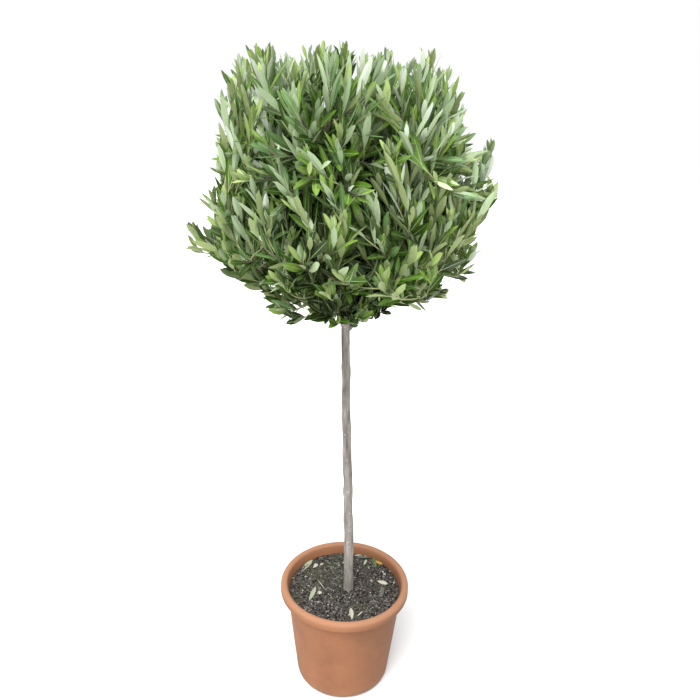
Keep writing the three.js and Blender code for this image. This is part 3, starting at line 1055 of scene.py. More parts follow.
    def fibres(self) -> Surface:
        """Lay thin fibres that rest on the crumbs: round profiles carried along curves with one bend.

        Returns:
            All fibres.
        """
        index, places = self.scatter(self.fibre_count, self.fibre_first, self.fibre_reach)
        heading = 2 * math.pi * chance(index, Salt.FIBRE_HEADING)
        tilt = wobble(index, Salt.FIBRE_TILT, self.fibre_tilt)
        along = np.stack([np.cos(heading), np.sin(heading), tilt], axis=-1)
        half = mix(*self.fibre_half_lengths, chance(index, Salt.FIBRE_LENGTH) ** 2)[:, None] * along
        bow = wobble(index, Salt.FIBRE_BOW, self.fibre_bow)[:, None]
        bend = np.cross(along, UP) * bow + self.fibre_arch * UP
        lift = self.fibre_lift * UP
        knots = np.stack([places - half + lift, places + 2 * bend, places + half + lift], axis=1)
        paths = Paths(bezier(knots, self.fibre_steps))
        tube = sweep(paths, np.full(paths.points.shape[:2], self.fibre_radius), self.fibre_sides)
        pale = chance(index, Salt.FIBRE_TINT) < self.pale_fibre_share
        tint = np.where(pale, CrumbTint.PALE, CrumbTint.GREY)
        tube.slots = [np.repeat(tint, len(faces) // len(index)) for faces in tube.faces]
        return tube

    def build(self) -> list[Piece]:
        """Build the bed that stands for the solid compost, and what lies loose on it.

        Returns:
            The bed, and its crumbs and fibres.
        """
        bed = self.bed().piece("compost_bed", [COMPOST_SOIL], crease=80, weld=True)
        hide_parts("compost")
        loose = Surface.joined([self.crumbs(), self.fibres()])
        crumbs = loose.piece("compost_crumbs", CRUMB_FINISHES, crease=60)
        return [bed, crumbs]


# Leaves


class LeafSide(IntEnum):
    """Parts of a leaf that have a finish each."""

    UPPER = 0
    RIB = 1
    UNDER = 2


class LeafCorner(IntEnum):
    """Corners of a leaf at each station along it."""

    LEFT = 0
    RIB_LEFT = 1
    RIB_RIGHT = 2
    RIGHT = 3
    KEEL = 4


@dataclass(frozen=True)
class LeafShape:
    """The form that all leaves share: a short stalk, a narrow blade, and a midrib."""

    stalk: float = 0.08  # Share of the length that is stalk.
    # Shares of the length at which the blade is measured.
    stations: tuple[float, ...] = (0.08, 0.26, 0.5, 0.74, 0.92)
    stalk_width: float = 0.09  # Half-width of the stalk, as a share of the blade's.
    skew: float = 1.12  # Power of the length. Above one, the blade is widest past its middle.
    fullness: float = 0.72  # Power of the blade's arch. Below one, the blade is full to its ends.
    rib: float = 0.5  # Half-width of the midrib at the stalk.
    thickness: float = 0.012  # Depth of the keel, as a share of the length.
    fade: float = 1.1  # Share of the length at which midrib and keel would run out.

    def half_widths(self) -> Array:
        """Give the blade's half-widths: a sine arch from stalk to tip, to a power."""
        share = (np.array(self.stations) - self.stalk) / (1 - self.stalk)
        return np.maximum(np.sin(math.pi * share**self.skew) ** self.fullness, self.stalk_width)

    def faces(self) -> list[tuple[Array, LeafSide]]:
        """Number a leaf's faces: root and tip first, then the corners at each station.

        Returns:
            Arrays of faces, each with the side that it belongs to.
        """
        strips = (
            (LeafCorner.LEFT, LeafCorner.RIB_LEFT, LeafSide.UPPER),
            (LeafCorner.RIB_LEFT, LeafCorner.RIB_RIGHT, LeafSide.RIB),
            (LeafCorner.RIGHT, LeafCorner.RIB_RIGHT, LeafSide.UPPER),
            (LeafCorner.RIGHT, LeafCorner.KEEL, LeafSide.UNDER),
            (LeafCorner.LEFT, LeafCorner.KEEL, LeafSide.UNDER),
        )
        start = 2 + len(LeafCorner) * np.arange(len(self.stations))
        low, high = start[:-1], start[1:]
        found = []
        for edge, middle, side in strips:
            faces = np.concatenate([
                np.stack([low + edge, low + middle, high + middle], axis=-1),
                np.stack([low + edge, high + middle, high + edge], axis=-1),
                [[0, start[0] + middle, start[0] + edge], [1, start[-1] + edge, start[-1] + middle]],
            ])
            turned_over = (edge == LeafCorner.RIGHT) == (side == LeafSide.UPPER)
            found.append((faces[:, ::-1] if turned_over else faces, side))
        return found


LEAF_SHAPE = LeafShape()


@dataclass
class Leaves:
    """Many leaves, each with its own place, way, size, bend and tint."""

    root: Array
    axis: Array  # Unit direction of the leaf.
    facing: Array  # Unit direction of its upper side.
    length: Array
    width: Array
    arch: Array  # How far the tip bends back, as a share of the length.
    fold: Array  # How far the edges stand up from the midrib, as a share of the half-width.
    twist: Array  # Turn of the tip against the root, in radians.
    tints: Array  # Finish numbers of the leaf's sides, shape (leaves, sides).

    def chosen(self, keep: Array) -> "Leaves":
        """Keep some of the leaves."""
        return Leaves(**{name: value[keep] for name, value in vars(self).items()})

    def tips(self) -> Array:
        """Give the places of the tips."""
        return self.root + (self.axis - self.facing * self.arch[:, None]) * self.length[:, None]

    def surface(self) -> Surface:
        """Build all leaves at once.

        At a share of the length, a corner lies that far along the axis, less the arch times the share
        squared on the facing side, and its own reach across. The fold lifts it with that reach, the keel
        lies below, and the twist turns across and facing with the share.

        Returns:
            The leaves as closed thin bodies.
        """
        share = np.array(LEAF_SHAPE.stations)
        fade = LEAF_SHAPE.fade - share
        half = self.width[:, None] / 2 * LEAF_SHAPE.half_widths()
        rib = np.minimum(LEAF_SHAPE.rib * fade, half / 2)
        across = np.stack([-half, -rib, rib, half, 0 * half], axis=-1)
        lift = self.fold[:, None, None] * abs(across)
        lift[..., LeafCorner.KEEL] = -LEAF_SHAPE.thickness * self.length[:, None] * fade
        lift -= (self.arch * self.length)[:, None, None] * share[:, None] ** 2
        side = np.cross(self.axis, self.facing)
        angle = (self.twist[:, None] * share)[..., None]
        side_here = np.cos(angle) * side[:, None] + np.sin(angle) * self.facing[:, None]
        facing_here = np.cos(angle) * self.facing[:, None] - np.sin(angle) * side[:, None]
        middle = self.root[:, None] + self.axis[:, None] * (self.length[:, None] * share)[..., None]
        rings = (middle[:, :, None] + across[..., None] * side_here[:, :, None]
                 + lift[..., None] * facing_here[:, :, None])
        ends = np.stack([self.root, self.tips()], axis=1)
        points = np.concatenate([ends, rings.reshape(len(rings), -1, 3)], axis=1)
        start = (np.arange(len(points)) * points.shape[1])[:, None, None]
        parts = LEAF_SHAPE.faces()
        faces = [(start + part).reshape(-1, part.shape[1]) for part, _ in parts]
        slots = [np.repeat(self.tints[:, kind], len(part)) for part, kind in parts]
        return Surface(points.reshape(-1, 3), faces, slots)


@dataclass(frozen=True)
class FallenLeaf:
    """A leaf that lies on the compost: place of its root, heading, length, width and finish."""

    x: float
    y: float
    heading: float
    length: float
    width: float
    tint: FallenTint


@dataclass(frozen=True)
class LeafLitter:
    """Leaves that have fallen on the compost."""

    bed: CompostBed
    lying: float = 1.3  # Height of a leaf's root above the compost.
    tip_lift: float = 1  # How much higher its tip lies.
    tilt: float = 0.7  # Span of its turn about its own length, in radians.
    arches: Span = (-0.1, 0.02)
    folds: Span = (0.1, 0.5)
    twist: float = 0.9  # Span of its twist, in radians.
    fallen: tuple[FallenLeaf, ...] = (
        FallenLeaf(-86, 40, 1.03, 40, 12, FallenTint.SAGE),
        FallenLeaf(-63, 50, 0.85, 14, 7, FallenTint.STRAW),
        FallenLeaf(-49, 56, 0.98, 11, 6, FallenTint.STRAW),
        FallenLeaf(-65, -44, 1.28, 36, 8, FallenTint.SAGE),
        FallenLeaf(-52, -25, 0.46, 11, 7, FallenTint.STRAW),
        FallenLeaf(-54, 18, -1.05, 34, 1.6, FallenTint.STRAW),
        FallenLeaf(15, -88, 1.66, 28, 9, FallenTint.STRAW),
        FallenLeaf(24, -79, 0.78, 16, 4, FallenTint.STRAW),
        FallenLeaf(61, 19, -0.51, 25, 8, FallenTint.STRAW),
        FallenLeaf(71, 5, -1.56, 36, 10, FallenTint.GREY),
        FallenLeaf(37, 61, 1.28, 20, 5, FallenTint.STRAW),
        FallenLeaf(61, 53, 1.74, 38, 9, FallenTint.GREEN),
        FallenLeaf(54, 84, -0.72, 28, 7, FallenTint.YELLOW),
        FallenLeaf(17, 95, 0, 17, 6, FallenTint.SAGE),
        FallenLeaf(19, 88, -0.05, 30, 8, FallenTint.GREY),
    )

    def leaves(self) -> Leaves:
        """Lay each leaf on the heights under its two ends.

        Returns:
            The leaves.
        """
        index = np.arange(len(self.fallen))
        sizes = [[leaf.x, leaf.y, leaf.heading, leaf.length, leaf.width] for leaf in self.fallen]
        x, y, heading, length, width = np.array(sizes).T
        end_x, end_y = x + length * np.cos(heading), y + length * np.sin(heading)
        end_z = self.bed.height_at(end_x, end_y) + self.lying + self.tip_lift
        root = np.stack([x, y, self.bed.height_at(x, y) + self.lying], axis=-1)
        axis = unit(np.stack([end_x, end_y, end_z], axis=-1) - root)
        level = unit(UP - axis * axis[:, 2:])
        facing = turn_about(level, axis, wobble(index, Salt.FALLEN_TILT, self.tilt))
        tint = np.array([leaf.tint for leaf in self.fallen])
        return Leaves(
            root, axis, facing, length, width,
            drawn(index, Salt.FALLEN_ARCH, self.arches),
            drawn(index, Salt.FALLEN_FOLD, self.folds),
            wobble(index, Salt.FALLEN_TWIST, self.twist),
            np.stack([tint] * len(LeafSide), axis=-1),
        )

    def build(self) -> Piece:
        """Put the leaves into the scene as one piece."""
        return self.leaves().surface().piece("fallen_leaves", FALLEN_FINISHES)


# Trunk and boughs


@dataclass(frozen=True)
class Knot:
    """A swelling on the bark: run along the limb, angle round it, size across and height."""

    run: float
    angle: float
    size: float
    height: float


@dataclass(frozen=True)
class BarkRelief:
    """How far bark stands out from a smooth limb."""

    coarse: Span = (0.24, 3.2)  # Height and width of coarse ridges.
    fine: Span = (0.13, 1.5)  # Height and width of fine ridges.
    drawn_out: float = 7  # How many times longer than wide a ridge is.
    swelling: Span = (0.5, 21)  # Height and length of slow swellings.
    swelling_width: float = 3  # How many times wider than long a swelling is.
    knot_stretch: float = 1.3  # How many times longer than wide a knot is.
    scar_depth: float = 0.75  # Depth of the scar in a knot, as a share of the knot's height.
    scar_narrowing: float = 2.6  # How many times narrower than the knot its scar is.

    def at(self, place: Array, run: Array) -> Array:
        """Give the relief: lumps drawn out along the limb in two sizes, and slow swellings.

        Args:
            place: Places on the smooth limb, shape (..., 3).
            run: Length along the limb at each place.

        Returns:
            How far the bark stands out at each place.
        """
        x, y, along = np.broadcast_arrays(place[..., 0], place[..., 1], run)
        ridges = np.stack([x, y, along / self.drawn_out], axis=-1)
        slow = np.stack([x / self.swelling_width, y / self.swelling_width, along], axis=-1)
        kinds = (
            (ridges, self.coarse, Salt.BARK_COARSE),
            (ridges, self.fine, Salt.BARK_FINE),
            (slow, self.swelling, Salt.BARK_SWELLING),
        )
        return sum(height * lumps(where, width, salt) for where, (height, width), salt in kinds)

    def limb(self, path: Paths, radius: Array, sides: int, knots: Sequence[Knot] = ()) -> Surface:
        """Carry a round profile with bark along a curve. A knot is a bell, less a narrow one for its scar.

        Args:
            path: The middle line, one curve.
            radius: Smooth radius at each point of it.
            sides: Corners of a ring.
            knots: Swellings with a scar, where shoots were cut off.

        Returns:
            The limb with flat ends.
        """
        smooth = sweep(path, radius[None], sides)
        run = path.run[0][:, None]
        relief = self.at(smooth.points.reshape(len(radius), sides, 3), run)
        for knot in knots:
            turn = np.angle(np.exp(1j * (full_turn(sides) - knot.angle)))
            spread = np.hypot((run - knot.run) / self.knot_stretch, turn * radius[:, None]) / knot.size
            scar = self.scar_depth * np.exp(-((self.scar_narrowing * spread) ** 2))
            relief += knot.height * (np.exp(-(spread**2)) - scar)
        return sweep(path, (radius[:, None] + relief)[None], sides)


BARK_RELIEF = BarkRelief()


@dataclass(frozen=True)
class Trunk:
    """A slender leaning trunk with a slight flare at the compost."""

    # Points that the middle line runs through, from under the compost's top to the fork.
    course: tuple[Point, ...] = (
        (6.5, -5, 170), (6.5, -4, 260), (-1, -1, 440), (-6.6, 1, 590), (-13, 0, 766))
    foot_radius: float = 8.7
    top_radius: float = 6.9
    flare: float = 1.5  # How much thicker it is at the compost.
    flare_height: float = 16  # Height over which the flare fades.
    ground: float = 190
    sides: int = 44
    steps: int = 330
    wander: float = 0.45  # How far it wanders about its course.
    # Lengths of the waves by which it wanders, two sideways and two to and fro.
    wander_lengths: tuple[float, float, float, float] = (17, 39, 21, 33)
    scars: int = 17
    scar_start: float = 0.09  # Place of the first scar, as a share of the length.
    scar_reach: float = 0.9  # Share of the length that scars cover.
    scar_jitter: float = 0.6  # How far a scar strays along the trunk, as a share of their spacing.
    scar_sizes: Span = (3, 5.2)
    scar_heights: Span = (0.5, 1.25)

    def path(self) -> Paths:
        """Give the middle line."""
        return Paths(through(np.array(self.course, float), self.steps)[None])

    def point_at(self, z: float) -> Array:
        """Give the place on the middle line at a height."""
        points = self.path().points[0]
        return np.stack([np.interp(z, points[:, 2], points[:, axis]) for axis in range(3)])

    def knots(self, length: float) -> list[Knot]:
        """Set scars along the trunk, a golden angle apart.

        Args:
            length: Length of the trunk.

        Returns:
            The scars.
        """
        index = np.arange(self.scars)
        order = index + self.scar_jitter * chance(index, Salt.SCAR_PLACE)
        runs = (self.scar_start + self.scar_reach * order / self.scars) * length
        sizes = drawn(index, Salt.SCAR_SIZE, self.scar_sizes)
        heights = drawn(index, Salt.SCAR_SIZE, self.scar_heights)
        return [Knot(*row) for row in zip(runs, index * GOLDEN_ANGLE, sizes, heights)]

    def build(self) -> Piece:
        """Build the trunk that stands for the solid one: a straight taper, and a flare that fades upwards.

        Returns:
            The trunk with its bark.
        """
        path = self.path()
        run, length = path.run[0], path.length[0]
        above = np.maximum(run - (self.ground - self.course[0][2]), 0)
        radius = mix(self.foot_radius, self.top_radius, run / length)
        radius = radius + self.flare * np.exp(-above / self.flare_height)
        first, second, third, fourth = (run / wave for wave in self.wander_lengths)
        sideways, to_and_fro = np.sin(first) + np.sin(second + 1), np.cos(third) + np.sin(fourth)
        sway = np.stack([sideways, to_and_fro, 0 * run], axis=-1)
        wandering = Paths(path.points + self.wander * sway)
        limb = BARK_RELIEF.limb(wandering, radius, self.sides, self.knots(length))
        made = limb.piece("trunk_bark", [BARK], crease=70)
        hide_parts("trunk")
        return made


@dataclass(frozen=True)
class Tuft:
    """A place where shoots stand proud of the crown's skin, or short of it where the gain is below zero."""

    azimuth: float
    z: float
    gain: float  # How far it lifts the skin, as a share of the radius.
    width: float  # Half its width, as an angle.
    height: float  # Half its height.


@dataclass(frozen=True)
class Dip:
    """A change of level that is the same all along one line from front to back."""

    x: float
    width: float  # Half the width of the dip.
    depth: float  # Change of level on the line.

    def at(self, x: Array) -> Array:
        """Give the change of level at each place: a bell across the line."""
        return self.depth * np.exp(-(((x - self.x) / self.width) ** 2))


@dataclass(frozen=True)
class CrownSkin:
    """A round surface about a leaning axis, squarer above its widest level than below it."""

    axis_x: float = -8.5  # Place of the axis at the fork.
    axis_lean: float = -0.045  # How far the axis moves along X for each step up.
    fork_z: float = 760
    widest_z: float = 880
    radius: float = 218
    top_z: float = 1138
    bottom_z: float = 757
    taper: float = 0.19  # How much narrower the top is, as a share of the radius.
    # Power of the rounding above the widest level. Two is an ellipse, more is squarer.
    top_power: float = 6
    bottom_power: float = 2.2  # The same below that level.
    steps: int = 240
    reach: float = 0.97  # Share of the skin's radius that twigs grow to.
    ragged: float = 0.1  # How far main twigs may stop short of it, as a share.
    fine_ragged: float = 0.16  # The same for finer shoots.
    hollow: float = 0.2  # Depth of the hollows in the skin, as a share.
    hollow_size: float = 75
    slack: float = 1.02  # Level that leaves may reach, where the skin is 1.
    upright_above: float = 190  # Height above the underside at which shoots are most upright.
    most_leans: Span = (0.6, 0.35)  # How far the most leaning shoots lean out, the lowest and the highest.
    least_leans: Span = (0.15, 0.05)  # The same of the least leaning ones.
    sway: float = 0.6  # Span of a shoot's lean to either side.
    full_above: float = 915  # Height at which every shoot grows.
    sparse_share: float = 0.18  # Share of shoots that grow at the underside.
    rising_above: float = 110  # Height above the underside at which every shoot rises from below.
    collar_radii: Span = (14, 150)  # Least and most distance of low shoots' tips from the axis.
    collar_power: float = 0.75  # Below one, more of these shoots reach out far.
    collar_rises: Span = (24, 58)  # Least and most height of these tips above the collar's bottom.
    collar_floor: float = 692  # Height of that bottom at the trunk.
    collar_flare: float = 30  # How far it rises steeply at the trunk.
    collar_slope: float = 0.23  # How far it rises with each step outwards.
    collar_reach: float = 165  # Distance from the axis within which leaves may hang that low.
    collar_gap: Dip = Dip(62, 40, 24)  # Where the collar's bottom is higher.
    # Where shoots stand proud of the skin.
    tufts: tuple[Tuft, ...] = (
        Tuft(math.pi, 854, 0.23, 0.3, 30),
        Tuft(0.05, 1000, 0.14, 0.3, 30),
        Tuft(-0.08, 945, 0.09, 0.3, 26),
        Tuft(math.pi, 918, 0.08, 0.25, 20),
        Tuft(0.08, 912, 0.02, 0.25, 20),
    )
    notches: tuple[Tuft, ...] = (
        Tuft(math.pi, 1038, -0.1, 0.45, 15),
        Tuft(math.pi, 989, -0.08, 0.45, 13),
        Tuft(math.pi, 950, -0.1, 0.45, 16),
        Tuft(math.pi, 892, -0.1, 0.45, 13),
        Tuft(0, 1036, -0.08, 0.45, 16),
        Tuft(0, 878, -0.1, 0.45, 22),
    )
    # Where the top is lower.
    dips: tuple[Dip, ...] = (Dip(-95, 20, 24), Dip(16, 13, 18), Dip(61, 18, 28), Dip(138, 24, 26))
    top_slack: float = 3

    def axis(self, z: Array | float) -> Array:
        """Give the axis point at each height."""
        z = np.asarray(z, float)
        return np.stack([self.axis_x + self.axis_lean * (z - self.fork_z), 0 * z, z], axis=-1)

    def around(self, z: Array | float, radius: Array | float, azimuth: Array | float) -> Array:
        """Give the point at a height, a radius from the axis and an azimuth."""
        flat = np.broadcast_arrays(np.cos(azimuth), np.sin(azimuth), 0 * np.asarray(azimuth))
        return self.axis(z) + np.asarray(radius)[..., None] * np.stack(flat, axis=-1)

    def height_share(self, z: Array) -> Array:
        """Tell how high a level lies, from the crown's underside (0) to its top (1)."""
        return np.clip((z - self.bottom_z) / (self.top_z - self.bottom_z), 0, 1)

    def half_height(self, z: Array) -> Array:
        """Give the skin's height above or below its widest level."""
        return np.where(z > self.widest_z, self.top_z - self.widest_z, self.widest_z - self.bottom_z)

    def power(self, z: Array) -> Array:
        """Give the power that makes the skin squarer above than below."""
        return np.where(z > self.widest_z, self.top_power, self.bottom_power)

    def girth(self, z: Array) -> Array:
        """Give the radius before the skin rounds in: a cone above the widest level, a cylinder below."""
        return self.radius * (1 - self.taper * np.clip((z - self.widest_z) / self.half_height(z), 0, 1))

    def radius_at(self, z: Array) -> Array:
        """Give the skin's radius: its girth, rounded in by a circle's rule with another power than two."""
        height = np.minimum(abs(z - self.widest_z) / self.half_height(z), 1)
        return self.girth(z) * (1 - height ** self.power(z)) ** (1 / self.power(z))

    def tuft_gain(self, z: Array, azimuth: Array) -> Array:
        """Give how far tufts lift the skin and notches lower it: a bell for each of them.

        Args:
            z: Heights.
            azimuth: Angles about the axis.

        Returns:
            Shares of the radius.
        """
        gain = np.zeros(np.broadcast(z, azimuth).shape)
        for tuft in self.tufts + self.notches:
            turn = np.angle(np.exp(1j * (azimuth - tuft.azimuth)))
            gain += tuft.gain * np.exp(-((turn / tuft.width) ** 2) - ((z - tuft.z) / tuft.height) ** 2)
        return gain

    def top_at(self, x: Array) -> Array:
        """Give the height of the top, lowered by each dip."""
        return self.top_z - sum(dip.at(x) for dip in self.dips)

    def level(self, points: Array) -> Array:
        """Tell where points lie between the crown's middle and its skin.

        Shares of girth and half-height are each raised to the skin's power, added, and the root taken.

        Args:
            points: Places, shape (..., 3).

        Returns:
            Levels, from 0 in the middle to 1 on the skin.
        """
        z = points[..., 2]
        out = points - self.axis(z)
        gain = self.tuft_gain(z, np.arctan2(out[..., 1], out[..., 0]))
        across = np.hypot(out[..., 0], out[..., 1]) / (self.girth(z) * (1 + gain))
        along = abs(z - self.widest_z) / self.half_height(z)
        power = self.power(z)
        return (across**power + along**power) ** (1 / power)

    def points(self, count: int, first: int, depth: float = 1, hollowed: bool = False) -> Array:
        """Spread points evenly over the skin: equal shares of its area, a golden angle apart.

        Args:
            count: Number of points.
            first: Number of the first one, which sets its azimuth and random choices.
            depth: Level at which they lie, from the crown's middle (0) to its skin (1).
            hollowed: Whether the skin is more ragged and dips in places, in smooth random hollows.

        Returns:
            Points of shape (count, 3), some of which stop short of the skin.
        """
        turn = np.linspace(0, math.pi, self.steps + 1)
        half = np.where(turn < math.pi / 2, self.top_z - self.widest_z, self.widest_z - self.bottom_z)
        heights = self.widest_z + np.cos(turn) * half
        radii = self.radius_at(heights)
        bands = (radii[1:] + radii[:-1]) * np.hypot(np.diff(radii), np.diff(heights))
        areas = np.concatenate([[0], np.cumsum(bands)])
        index = first + np.arange(count)
        z = np.interp((np.arange(count) + 0.5) / count * areas[-1], areas, heights)
        azimuth = index * GOLDEN_ANGLE
        ragged = self.fine_ragged if hollowed else self.ragged
        shortening = 1 - ragged * chance(index, Salt.SKIN_REACH) ** 2
        reach = self.reach * (1 + self.tuft_gain(z, azimuth)) * shortening
        raised = mix(self.widest_z, z, 1 - ragged * chance(index, Salt.SKIN_RISE) ** 2 / 2)
        outer = self.around(raised, self.radius_at(z) * reach, azimuth)
        middle = self.axis(self.widest_z)
        sunk = self.hollow * np.clip(lumps(outer, self.hollow_size, Salt.HOLLOW), 0, 1) * hollowed
        found = middle + (outer - middle) * (depth * (1 - sunk))[:, None]
        found[:, 2] = np.minimum(found[:, 2], self.top_at(found[:, 0]))
        return found

    def holds(self, points: Array) -> Array:
        """Tell which points lie within the skin and its slack, or in the collar of leaves at the fork.

        Args:
            points: Places, shape (..., 3).

        Returns:
            Whether each place lies there.
        """
        x, z = points[..., 0], points[..., 2]
        out = points - self.axis(z)
        across = np.hypot(out[..., 0], out[..., 1])
        near_fork = (z < self.widest_z) & (across < self.collar_reach)
        in_collar = near_fork & (z > self.collar_bottom(across, x))
        in_skin = (self.level(points) < self.slack) & (z < self.top_at(x) + self.top_slack)
        return in_collar | in_skin

    def fullness(self, z: Array) -> Array:
        """Give the share of shoots that grow at each height: few at the crown's open underside."""
        return np.interp(z, [self.bottom_z, self.full_above], [self.sparse_share, 1])

    def rising(self, z: Array) -> Array:
        """Tell how far shoots rise from below, from not at all at the crown's underside (0) to fully (1)."""
        return np.clip((z - self.bottom_z) / self.rising_above, 0, 1)

    def collar_bottom(self, radius: Array, x: Array) -> Array:
        """Give the lowest level of leaves about the fork: a shallow cone that drops steeply at the trunk."""
        flare = self.collar_flare * (1 - np.exp(-radius / self.collar_flare))
        return self.collar_floor + flare + self.collar_slope * radius + self.collar_gap.at(x)

    def collar_tips(self, count: int, first: int) -> Array:
        """Give the tips of low shoots that hide the fork: above the cone, a golden angle apart.

        Args:
            count: Number of tips.
            first: Number of the first one.

        Returns:
            Points of shape (count, 3).
        """
        index = first + np.arange(count)
        radius = mix(*self.collar_radii, chance(index, Salt.COLLAR_RADIUS) ** self.collar_power)
        azimuth = index * GOLDEN_ANGLE
        bottom = self.collar_bottom(radius, self.axis_x + radius * np.cos(azimuth))
        return self.around(bottom + drawn(index, Salt.COLLAR_RISE, self.collar_rises), radius, azimuth)

    def tuft_tips(self, scatter: float = 0, first: int = 0, copies: int = 1) -> Array:
        """Give tips in the tufts.

        Args:
            scatter: How far they lie from the tufts' middles, as a share of each tuft's size.
            first: Number of the first tip.
            copies: Number of tips in each tuft.

        Returns:
            Points of shape (tufts times copies, 3).
        """
        sizes = [[tuft.z, tuft.azimuth, tuft.gain, tuft.width, tuft.height] for tuft in self.tufts] * copies
        z, azimuth, gain, width, height = np.array(sizes).T
        index = first + np.arange(len(sizes))
        z = z + scatter * height * (2 * chance(index, Salt.TUFT_HEIGHT) - 1)
        azimuth = azimuth + scatter * width * (2 * chance(index, Salt.TUFT_AZIMUTH) - 1)
        lifted = 1 + gain * (1 - scatter * chance(index, Salt.TUFT_REACH))
        return self.around(z, self.radius_at(z) * lifted, azimuth)

    def shoot_direction(self, tips: Array, index: Array, gain: Array) -> Array:
        """Give the way a shoot points at its tip: outwards low in the crown, upwards high in it.

        Args:
            tips: Where each shoot's end leaf reaches.
            index: Number of each shoot.
            gain: How many times further than a main twig it leans out.

        Returns:
            Unit directions.
        """
        height = np.clip((tips[:, 2] - self.bottom_z) / self.upright_above, 0, 1)
        outward = (tips - self.axis(tips[:, 2])) / self.radius
        sideways = np.cross(UP, outward)
        most, least = mix(*self.most_leans, height), mix(*self.least_leans, height)
        lean = mix(most, least, chance(index, Salt.SHOOT_LEAN))[:, None]
        sway = wobble(index, Salt.SHOOT_SWAY, self.sway)[:, None]
        return unit(UP + (outward * lean + sideways * sway) * gain[:, None])


@dataclass(frozen=True)
class Ring:
    """A ring of boughs: where they fork from the trunk, bend and end, and the sites of their masses."""

    name: str
    count: int
    turn: float
    fork_z: float
    rise: float
    bend_radius: float
    bend_rise: float
    tip_radius: float
    tip_z: float
    site_radius: float
    site_z: float
    stagger: float
    limb_radius: float = 4.4


RINGS = (
    Ring("lower", 6, 0.2, 705, 4, 30, 26, 56, 780, 126, 858, 14),
    Ring("upper", 5, 0.75, 732, 3.8, 46, 50, 56, 925, 114, 1012, 14),
)
LEADER_TIP_Z = 930
LEADER_SITE_Z = 1050


@dataclass
class Bough:
    """One tapering limb, and the site of the foliage mass that it carries."""

    label: str
    controls: Array
    base_radius: float
    site: Array
    tip_radius: float = 2.9
    collar: float = 0.9
    collar_run: float = 6
    sides: int = 16
    steps: int = 60

    def path(self) -> Paths:
        """Give the middle line."""
        return Paths(bezier(self.controls, self.steps)[None])

    def build(self) -> Piece:
        """Build the bough that stands for the solid one, with a bell-shaped collar where it leaves the trunk.

        Returns:
            The bough with its bark.
        """
        path = self.path()
        run = path.run[0]
        radius = mix(self.base_radius, self.tip_radius, run / path.length[0])
        radius = radius + self.collar * np.exp(-(((run - self.collar_run) / self.collar_run) ** 2))
        limb = BARK_RELIEF.limb(path, radius, self.sides)
        made = limb.piece(f"bough_bark_{self.label}", [BARK], crease=70)
        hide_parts(f"bough_{self.label}")
        return made


def plan_boughs(trunk: Trunk, skin: CrownSkin) -> list[Bough]:
    """Lay out every bough: two rings that leave the trunk by turns, and a leader from its top.

    Args:
        trunk: The trunk that they leave.
        skin: The crown's skin, whose axis they are set about.

    Returns:
        The boughs, leader last.
    """
    boughs = []
    for ring in RINGS:
        for i in range(ring.count):
            azimuth = ring.turn + i / ring.count * 2 * math.pi
            fork_z = ring.fork_z + ((i % 2) * math.ceil(ring.count / 2) + i // 2) * ring.rise
            site_z = ring.site_z + (ring.stagger if i % 2 else -ring.stagger)
            controls = np.stack([
                trunk.point_at(fork_z),
                skin.around(fork_z + ring.bend_rise, ring.bend_radius, azimuth),
                skin.around(ring.tip_z, ring.tip_radius, azimuth),
            ])
            site = skin.around(site_z, ring.site_radius, azimuth)
            boughs.append(Bough(f"{ring.name}_{i + 1}", controls, ring.limb_radius, site))
    middle = trunk.path().points[0]
    top, tangent = middle[-1], unit(middle[-1] - middle[-2])
    tip = skin.axis(LEADER_TIP_Z)
    controls = np.stack([top, top + tangent * (tip[2] - top[2]) / 2, tip])
    boughs.append(Bough("leader", controls, trunk.top_radius, skin.axis(LEADER_SITE_Z)))
    return boughs


# Foliage


@dataclass(frozen=True)
class Layer:
    """Finer shoots that end at one level, thinned out at the crown's open underside or not."""

    count: int
    level: float
    thinned: bool


@dataclass(frozen=True)
class ShootRule:
    """The rule by which twigs and finer shoots grow."""

    main_count: int = 137  # Skin points that main twigs grow to, besides the tufts.
    layers: tuple[Layer, ...] = (
        Layer(250, 1.0, True), Layer(180, 0.84, True), Layer(150, 0.68, False), Layer(120, 0.5, False))
    collar: int = 120  # Number of low shoots that hide the fork.
    tuft: int = 3  # Number of finer shoots in each tuft.
    tuft_scatter: float = 0.35  # How far they lie from the tuft's middle, as a share of its size.
    lengths: Span = (70, 150)  # Shortest and longest finer shoot.
    low_length: float = 0.65  # Share of that length on the lowest shoots.
    fine_lean: float = 1.9  # How many times further than main twigs finer shoots lean out.
    least_rise: float = 45  # Height by which a finer shoot should rise.
    lift: float = 35  # How far above the crown's underside its lowest finer shoots end.
    start_handle: float = 0.3  # Length of a curve's first handle, as a share of its reach.
    end_handles: Span = (0.2, 0.5)  # Shortest and longest last handle, as shares of its reach.
    end_share: float = 0.9  # Share of the end leaf that goes past the shoot's end.
    sag: float = 6  # How far a curve is drawn below its lower end.
    droop: float = 6  # How far a shoot may end below its start.
    least_leaves: int = 3  # A shoot with fewer leaves than this is left out.


